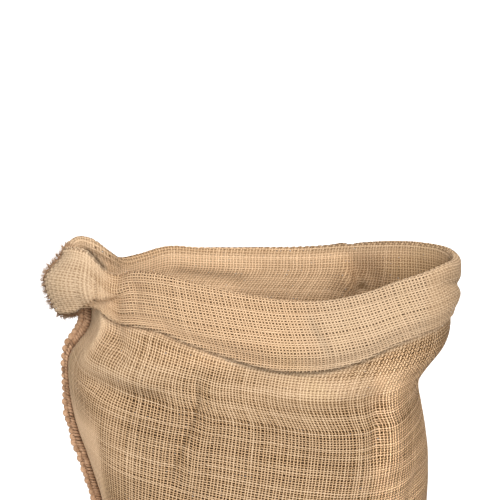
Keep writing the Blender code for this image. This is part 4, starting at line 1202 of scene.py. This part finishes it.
def along_line(points, spacing):
    """A line of points resampled at an even spacing."""
    points = np.asarray(points, float)
    length = np.concatenate([[0], np.cumsum(np.linalg.norm(np.diff(points, axis=0), axis=1))])
    s = np.arange(0, length[-1], spacing)
    return np.column_stack([np.interp(s, length, c) for c in points.T]), s


def frame_along(points, out):
    """Directions outward and across at each point of a line."""
    run = unit(np.gradient(points, axis=0))
    out = np.broadcast_to(out, points.shape)
    o = unit(out - (out * run).sum(1)[:, None] * run)
    return run, o, unit(np.cross(run, o))


def bar(tubes, points, o, a, wide, thick, tone):
    """A flat strip with eased corners, its inner edge on the line."""
    wide = np.broadcast_to(wide, (len(points),))[:, None, None]
    outline = np.array([(0.0, -0.3), (0.2, -0.5), (0.8, -0.5), (1.0, -0.2), (1.0, 0.2), (0.8, 0.5), (0.2, 0.5), (0.0, 0.3)])
    n, m = len(points), len(outline)
    ring = points[:, None, :] + o[:, None, :] * (outline[None, :, 0, None] * wide) + a[:, None, :] * (outline[None, :, 1, None] * thick)
    index = tubes.count + np.arange(n * m).reshape(n, m)
    nxt = np.roll(index, -1, 1)
    tubes.verts.append(ring.reshape(-1, 3))
    tubes.quads.append(np.stack([index[:-1], nxt[:-1], nxt[1:], index[1:]], -1).reshape(-1, 4))
    for row in (index[0][::-1], index[-1]):
        tubes.quads.append(np.array([[row[0], row[1], row[2], row[7]], [row[7], row[2], row[3], row[6]], [row[6], row[3], row[4], row[5]]]))
    length = np.concatenate([[0], np.cumsum(np.linalg.norm(np.diff(points, axis=0), axis=1))])
    tubes.uvs.append(np.column_stack([np.repeat(length, m), np.tile(np.arange(m) / m, n)]))
    tubes.tone.append(np.full(n * m, tone))
    # a low lift paints the strip in shade, under the stitches over it
    tubes.lift.append(np.full(n * m, 0.25))
    tubes.count += n * m


def overlock(tubes, line, out, deep, thick, seed, radius=1.55, pitch=3.3, sides=6):
    """Twine wrapped over the folded allowance in slanting loops, and linked in round knobs along its outer edge."""
    own = np.random.default_rng(seed)
    points, s = along_line(line, pitch / 12)
    run, o, a = frame_along(points, out)
    across = np.interp(points[:, 2], deep[0], deep[1])
    coarse = slice(None, None, 12)
    bar(tubes, points[coarse], o[coarse], a[coarse], across[coarse] - 0.7, thick, 0.3)
    turns = 2 * math.pi * (s + 1.1 * wave(s, 9.0, seed)) / pitch
    cos, sin = np.cos(turns), np.sin(turns)
    reach = across / 2 - 1.5 + 0.6 * wave(s, 4.0, seed + 2)
    lift_off = thick / 2 + radius * 0.55 + 0.4 * wave(s, 5.0, seed + 3)
    path = points + o * (across / 2 - 1.2 + reach * np.sign(cos) * np.abs(cos) ** 0.8)[:, None] + a * (lift_off * np.sign(sin) * np.abs(sin) ** 0.7)[:, None]
    path = path + run * (2.3 * cos)[:, None]  # the loops slant
    width = radius * (1 + 0.2 * wave(s, 2.3, seed + 4) + 0.14 * wave(s, 14.0, seed + 5))
    piece = 12 * 2
    for k in range(0, len(path) - 2, piece):
        part = slice(k, min(k + piece + 1, len(path)))
        # lift paints each loop in shade where it turns in towards the cloth
        tubes.add(path[part], width[part], sides, tone=own.uniform(0.0, 0.8), lift=0.2 + 0.8 * np.clip(0.55 + 0.75 * cos[part], 0, 1))
    # the linking thread: a round knob at every other loop
    link = 2 * pitch
    place = 0.5 * link
    while place < s[-1] - link:
        k = int(np.searchsorted(s, place))
        big = own.uniform(0.85, 1.15) * np.clip(across[k] / 7.0, 0.6, 1.1)
        t = np.linspace(0, 1, 9)
        bow = np.sin(math.pi * t)
        centre = points[k] + o[k] * (across[k] - 3.2 + own.uniform(-0.4, 0.4))
        twist = centre + run[k] * ((t - 0.5) * 1.15 * link)[:, None] + o[k] * (3.3 * big * bow)[:, None] + a[k] * (own.uniform(-0.7, 0.7) + 1.5 * (0.5 - t))[:, None]
        # lift paints the knob's ends in shade
        tubes.add(twist, (0.6 + 2.7 * bow**0.8) * big, 7, tone=own.uniform(0.0, 0.9), lift=0.3 + 0.7 * bow)
        place += link * own.uniform(0.88, 1.1)


def tuft(tubes, root, heading, length, seed_rng, radius=0.22, curl=0.5, sides=3, tone=None):
    """One frayed fibre or thread end."""
    heading = heading / np.linalg.norm(heading)
    bend = seed_rng.normal(0, 1, 3)
    bend -= (bend @ heading) * heading
    t = np.linspace(0, 1, 5)[:, None]
    path = root + heading * length * t + bend * length * curl * 0.35 * t * t
    tubes.add(path, radius * (1 - 0.75 * t[:, 0]), sides, tone=seed_rng.uniform() if tone is None else tone, lift=seed_rng.uniform(0.4, 1.0))


# ---- the side seam --------------------------------------------------------
seam_v = np.linspace(BODY_AT + 8.0, RIM_AT - 12.0, 420)
seam_line, _ = at(np.zeros(420), seam_v)
seam_line[:, 0] += 0.9  # the stitches bite into the cloth's edge
side = Tubes()
SEAM_DEEP = ((0.0, 430.0, 470.0, 490.0, 515.0, 540.0, 565.0), (8.5, 8.5, 7.0, 5.5, 6.0, 9.0, 10.5))
overlock(side, seam_line, np.array([-1.0, 0.0, 0.0]), SEAM_DEEP, 2.2, 61)
own = np.random.default_rng(71)
for _ in range(2600):
    k = own.integers(0, len(seam_line))
    deep = np.interp(seam_line[k, 2], *SEAM_DEEP)
    root = seam_line[k] + np.array([-own.uniform(0.2, 0.95) * deep, own.uniform(-2.8, -0.6), 0])
    tuft(side, root, np.array([own.normal(-0.4, 0.8), -0.8, own.normal(0, 0.9)]), own.uniform(1.2, 3.4), own, own.uniform(0.18, 0.42), tone=float(own.uniform() ** 0.7))


# ---- the ear's seam and its frayed end ------------------------------------
ear_v = np.linspace(RIM_AT + 4.0, HEM_AT - 0.5, 80)
ear_line, _ = at(np.zeros(80), ear_v)
ear_line[:, 0] += 0.4
ear_line[:, 1] += 2.0
turn_up = np.linspace(0, 1, 80)
ear_out = np.column_stack([-np.ones(80), np.full(80, 0.15), np.interp(turn_up, [0, 0.12, 0.35, 0.8, 1.0], [0.9, 0.5, 0.15, -0.1, -0.4])])
ear = Tubes()
joined, s = along_line(np.column_stack([ear_line, ear_out]), 0.5)
line = joined[:, :3]
run, o, a = frame_along(line, unit(joined[:, 3:]))
bar(ear, line[::6], o[::6], a[::6], 2.5, 1.8, 0.15)
own = np.random.default_rng(91)
spot_at = 0.0
while spot_at < s[-1] - 0.5:  # the cut ends of the level yarns, each opened into a small brush
    k = int(np.searchsorted(s, spot_at))
    root = line[k] + o[k] * own.uniform(0.0, 1.4) + a[k] * own.uniform(-1.1, 0.9)
    heading = o[k] + a[k] * own.normal(-0.1, 0.3) + run[k] * own.normal(0.1, 0.28)
    long = own.uniform(4.6, 8.0)
    shade = own.uniform(0.0, 1.0)
    tuft(ear, root, heading, long * 0.8, own, own.uniform(0.6, 0.95), tone=shade)
    for _ in range(5):
        stray = heading + a[k] * own.normal(0, 0.3) + run[k] * own.normal(0, 0.3)
        tuft(ear, root + run[k] * own.normal(0, 0.7) + a[k] * own.normal(0, 0.7), stray, long * own.uniform(0.7, 1.25), own, own.uniform(0.24, 0.46), tone=float(np.clip(shade + own.normal(0, 0.45), 0, 1)))
    spot_at += own.uniform(1.5, 2.6)
for _ in range(260):
    k = own.integers(0, len(line))
    tuft(ear, line[k] + a[k] * own.normal(0, 0.8), o[k] + a[k] * own.normal(0, 0.4) + run[k] * own.normal(0, 0.6), own.uniform(6.0, 10.5), own, 0.24, tone=own.uniform(0.5, 1.0))
# the seam's loose end is tucked under the ear, its threads hanging; their dark tones are painted shade under the ear
corner = line[-1]
for _ in range(240):
    f = own.uniform() ** 0.8
    root = corner + np.array([3.0 + 23.0 * f, -1.0 - 9.0 * f, -3.0 + 3.0 * f - 3.0 * own.uniform()])
    heading = np.array([own.normal(-0.25, 0.45), own.normal(-0.15, 0.4), -1.0])
    tuft(ear, root, heading, own.uniform(4.5, 11.0) * (1 - 0.3 * f), own, own.uniform(0.34, 0.62), tone=own.uniform(0.0, 0.4))

# ---- the base's seam -------------------------------------------------------
x = np.linspace(6.0 - BASE_SEAM + 7, 6.0 + BASE_SEAM - 7, 120)
under = Tubes()
base_line = np.column_stack([x, np.full(len(x), -4.2), np.full(len(x), 1.45)])
points, s = along_line(base_line, 0.6)
turns = 2 * math.pi * s / 3.4
path = points + np.column_stack([np.zeros(len(s)), 4.2 + 4.2 * np.cos(turns), 0.62 * np.sin(turns)])
under.add(path, 0.72, 4, tone=0.4, lift=0.6)

side_piece = side.build("side_seam_stitches", twine_look)
ear_piece = ear.build("ear_fray", fray_look)
under_piece = under.build("bottom_seam_stitches", twine_look)

# =============================================================================
# How the pieces belong to the frame
# =============================================================================
for piece in (front_cloth, back_cloth, cuff_cloth):
    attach(piece, ROOT)
for piece, slot_name in ((side_piece, "jute_twine"), (ear_piece, "frayed_twine"), (under_piece, "jute_twine")):
    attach(piece, ROOT)
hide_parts("sack_cloth")
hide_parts("sack_cloth")
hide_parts("sack_cloth")
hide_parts("side_seam")
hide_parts("ear_seam")
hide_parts("bottom_seam")

# =============================================================================
# Floor, light and camera
# =============================================================================
floor_mesh = bpy.data.meshes.new("floor")
R = 14.0
floor_mesh.from_pydata([(-R, -R, 0), (R, -R, 0), (R, R, 0), (-R, R, 0)], [], [(0, 1, 2, 3)])
floor = bpy.data.objects.new("floor", floor_mesh)
floor.location = (0, 0, -0.0005)
bpy.context.scene.collection.objects.link(floor)
pale = Nodes("pale_floor")
pale.shader.inputs["Base Color"].default_value = (0.72, 0.72, 0.72, 1)
pale.shader.inputs["Roughness"].default_value = 0.9
pale.shader.inputs["Specular IOR Level"].default_value = 0.1
floor_mesh.materials.append(pale.material)

world = bpy.data.worlds.new("studio")
bpy.context.scene.world = world
world.use_nodes = True
world.node_tree.nodes["Background"].inputs[0].default_value = (1, 1, 1, 1)
world.node_tree.nodes["Background"].inputs[1].default_value = 0.62


def lamp(name, where, aim, size, power):
    data = bpy.data.lights.new(name, "AREA")
    data.shape = "DISK"
    data.size = size
    data.energy = power
    thing = bpy.data.objects.new(name, data)
    bpy.context.scene.collection.objects.link(thing)
    from mathutils import Vector

    thing.location = where
    thing.rotation_euler = (Vector(aim) - Vector(where)).to_track_quat("-Z", "Y").to_euler()
    return thing


sun = bpy.data.lights.new("key", "SUN")
sun.energy = 3.3
sun.angle = math.radians(52.0)
sky = bpy.data.objects.new("key", sun)
bpy.context.scene.collection.objects.link(sky)
sky.rotation_euler = (math.radians(54.0), 0.0, math.radians(6.0))
lamp("backdrop", (0.0, 3.4, 2.6), (0, 3.4, 0), 5.0, 130.0)

ELEVATION = math.radians(14.0)
FAR = 5.0
up = np.array([0, math.sin(ELEVATION), math.cos(ELEVATION)])
forward = np.array([0, math.cos(ELEVATION), -math.sin(ELEVATION)])
# the centre of the view is a point 0.6166 m up the picture plane through the
# foot of the sack, in the tables' own frame; the sack stands CENTRE off it
look_at = up * 0.6166 - np.array(CENTRE) * MM
camera_data = bpy.data.cameras.new("camera")
camera = bpy.data.objects.new("camera", camera_data)
bpy.context.scene.collection.objects.link(camera)
from mathutils import Matrix

spot = look_at - forward * FAR
right = np.cross(forward, up)
camera.matrix_world = Matrix(
    (
        (right[0], up[0], -forward[0], spot[0]),
        (right[1], up[1], -forward[1], spot[1]),
        (right[2], up[2], -forward[2], spot[2]),
        (0, 0, 0, 1),
    )
)
camera_data.sensor_width = 36.0
camera_data.lens = 36.0 * (FAR - 0.135) / 0.525
camera_data.clip_end = 100
bpy.context.scene.camera = camera
bpy.context.scene.view_settings.view_transform = "Standard"
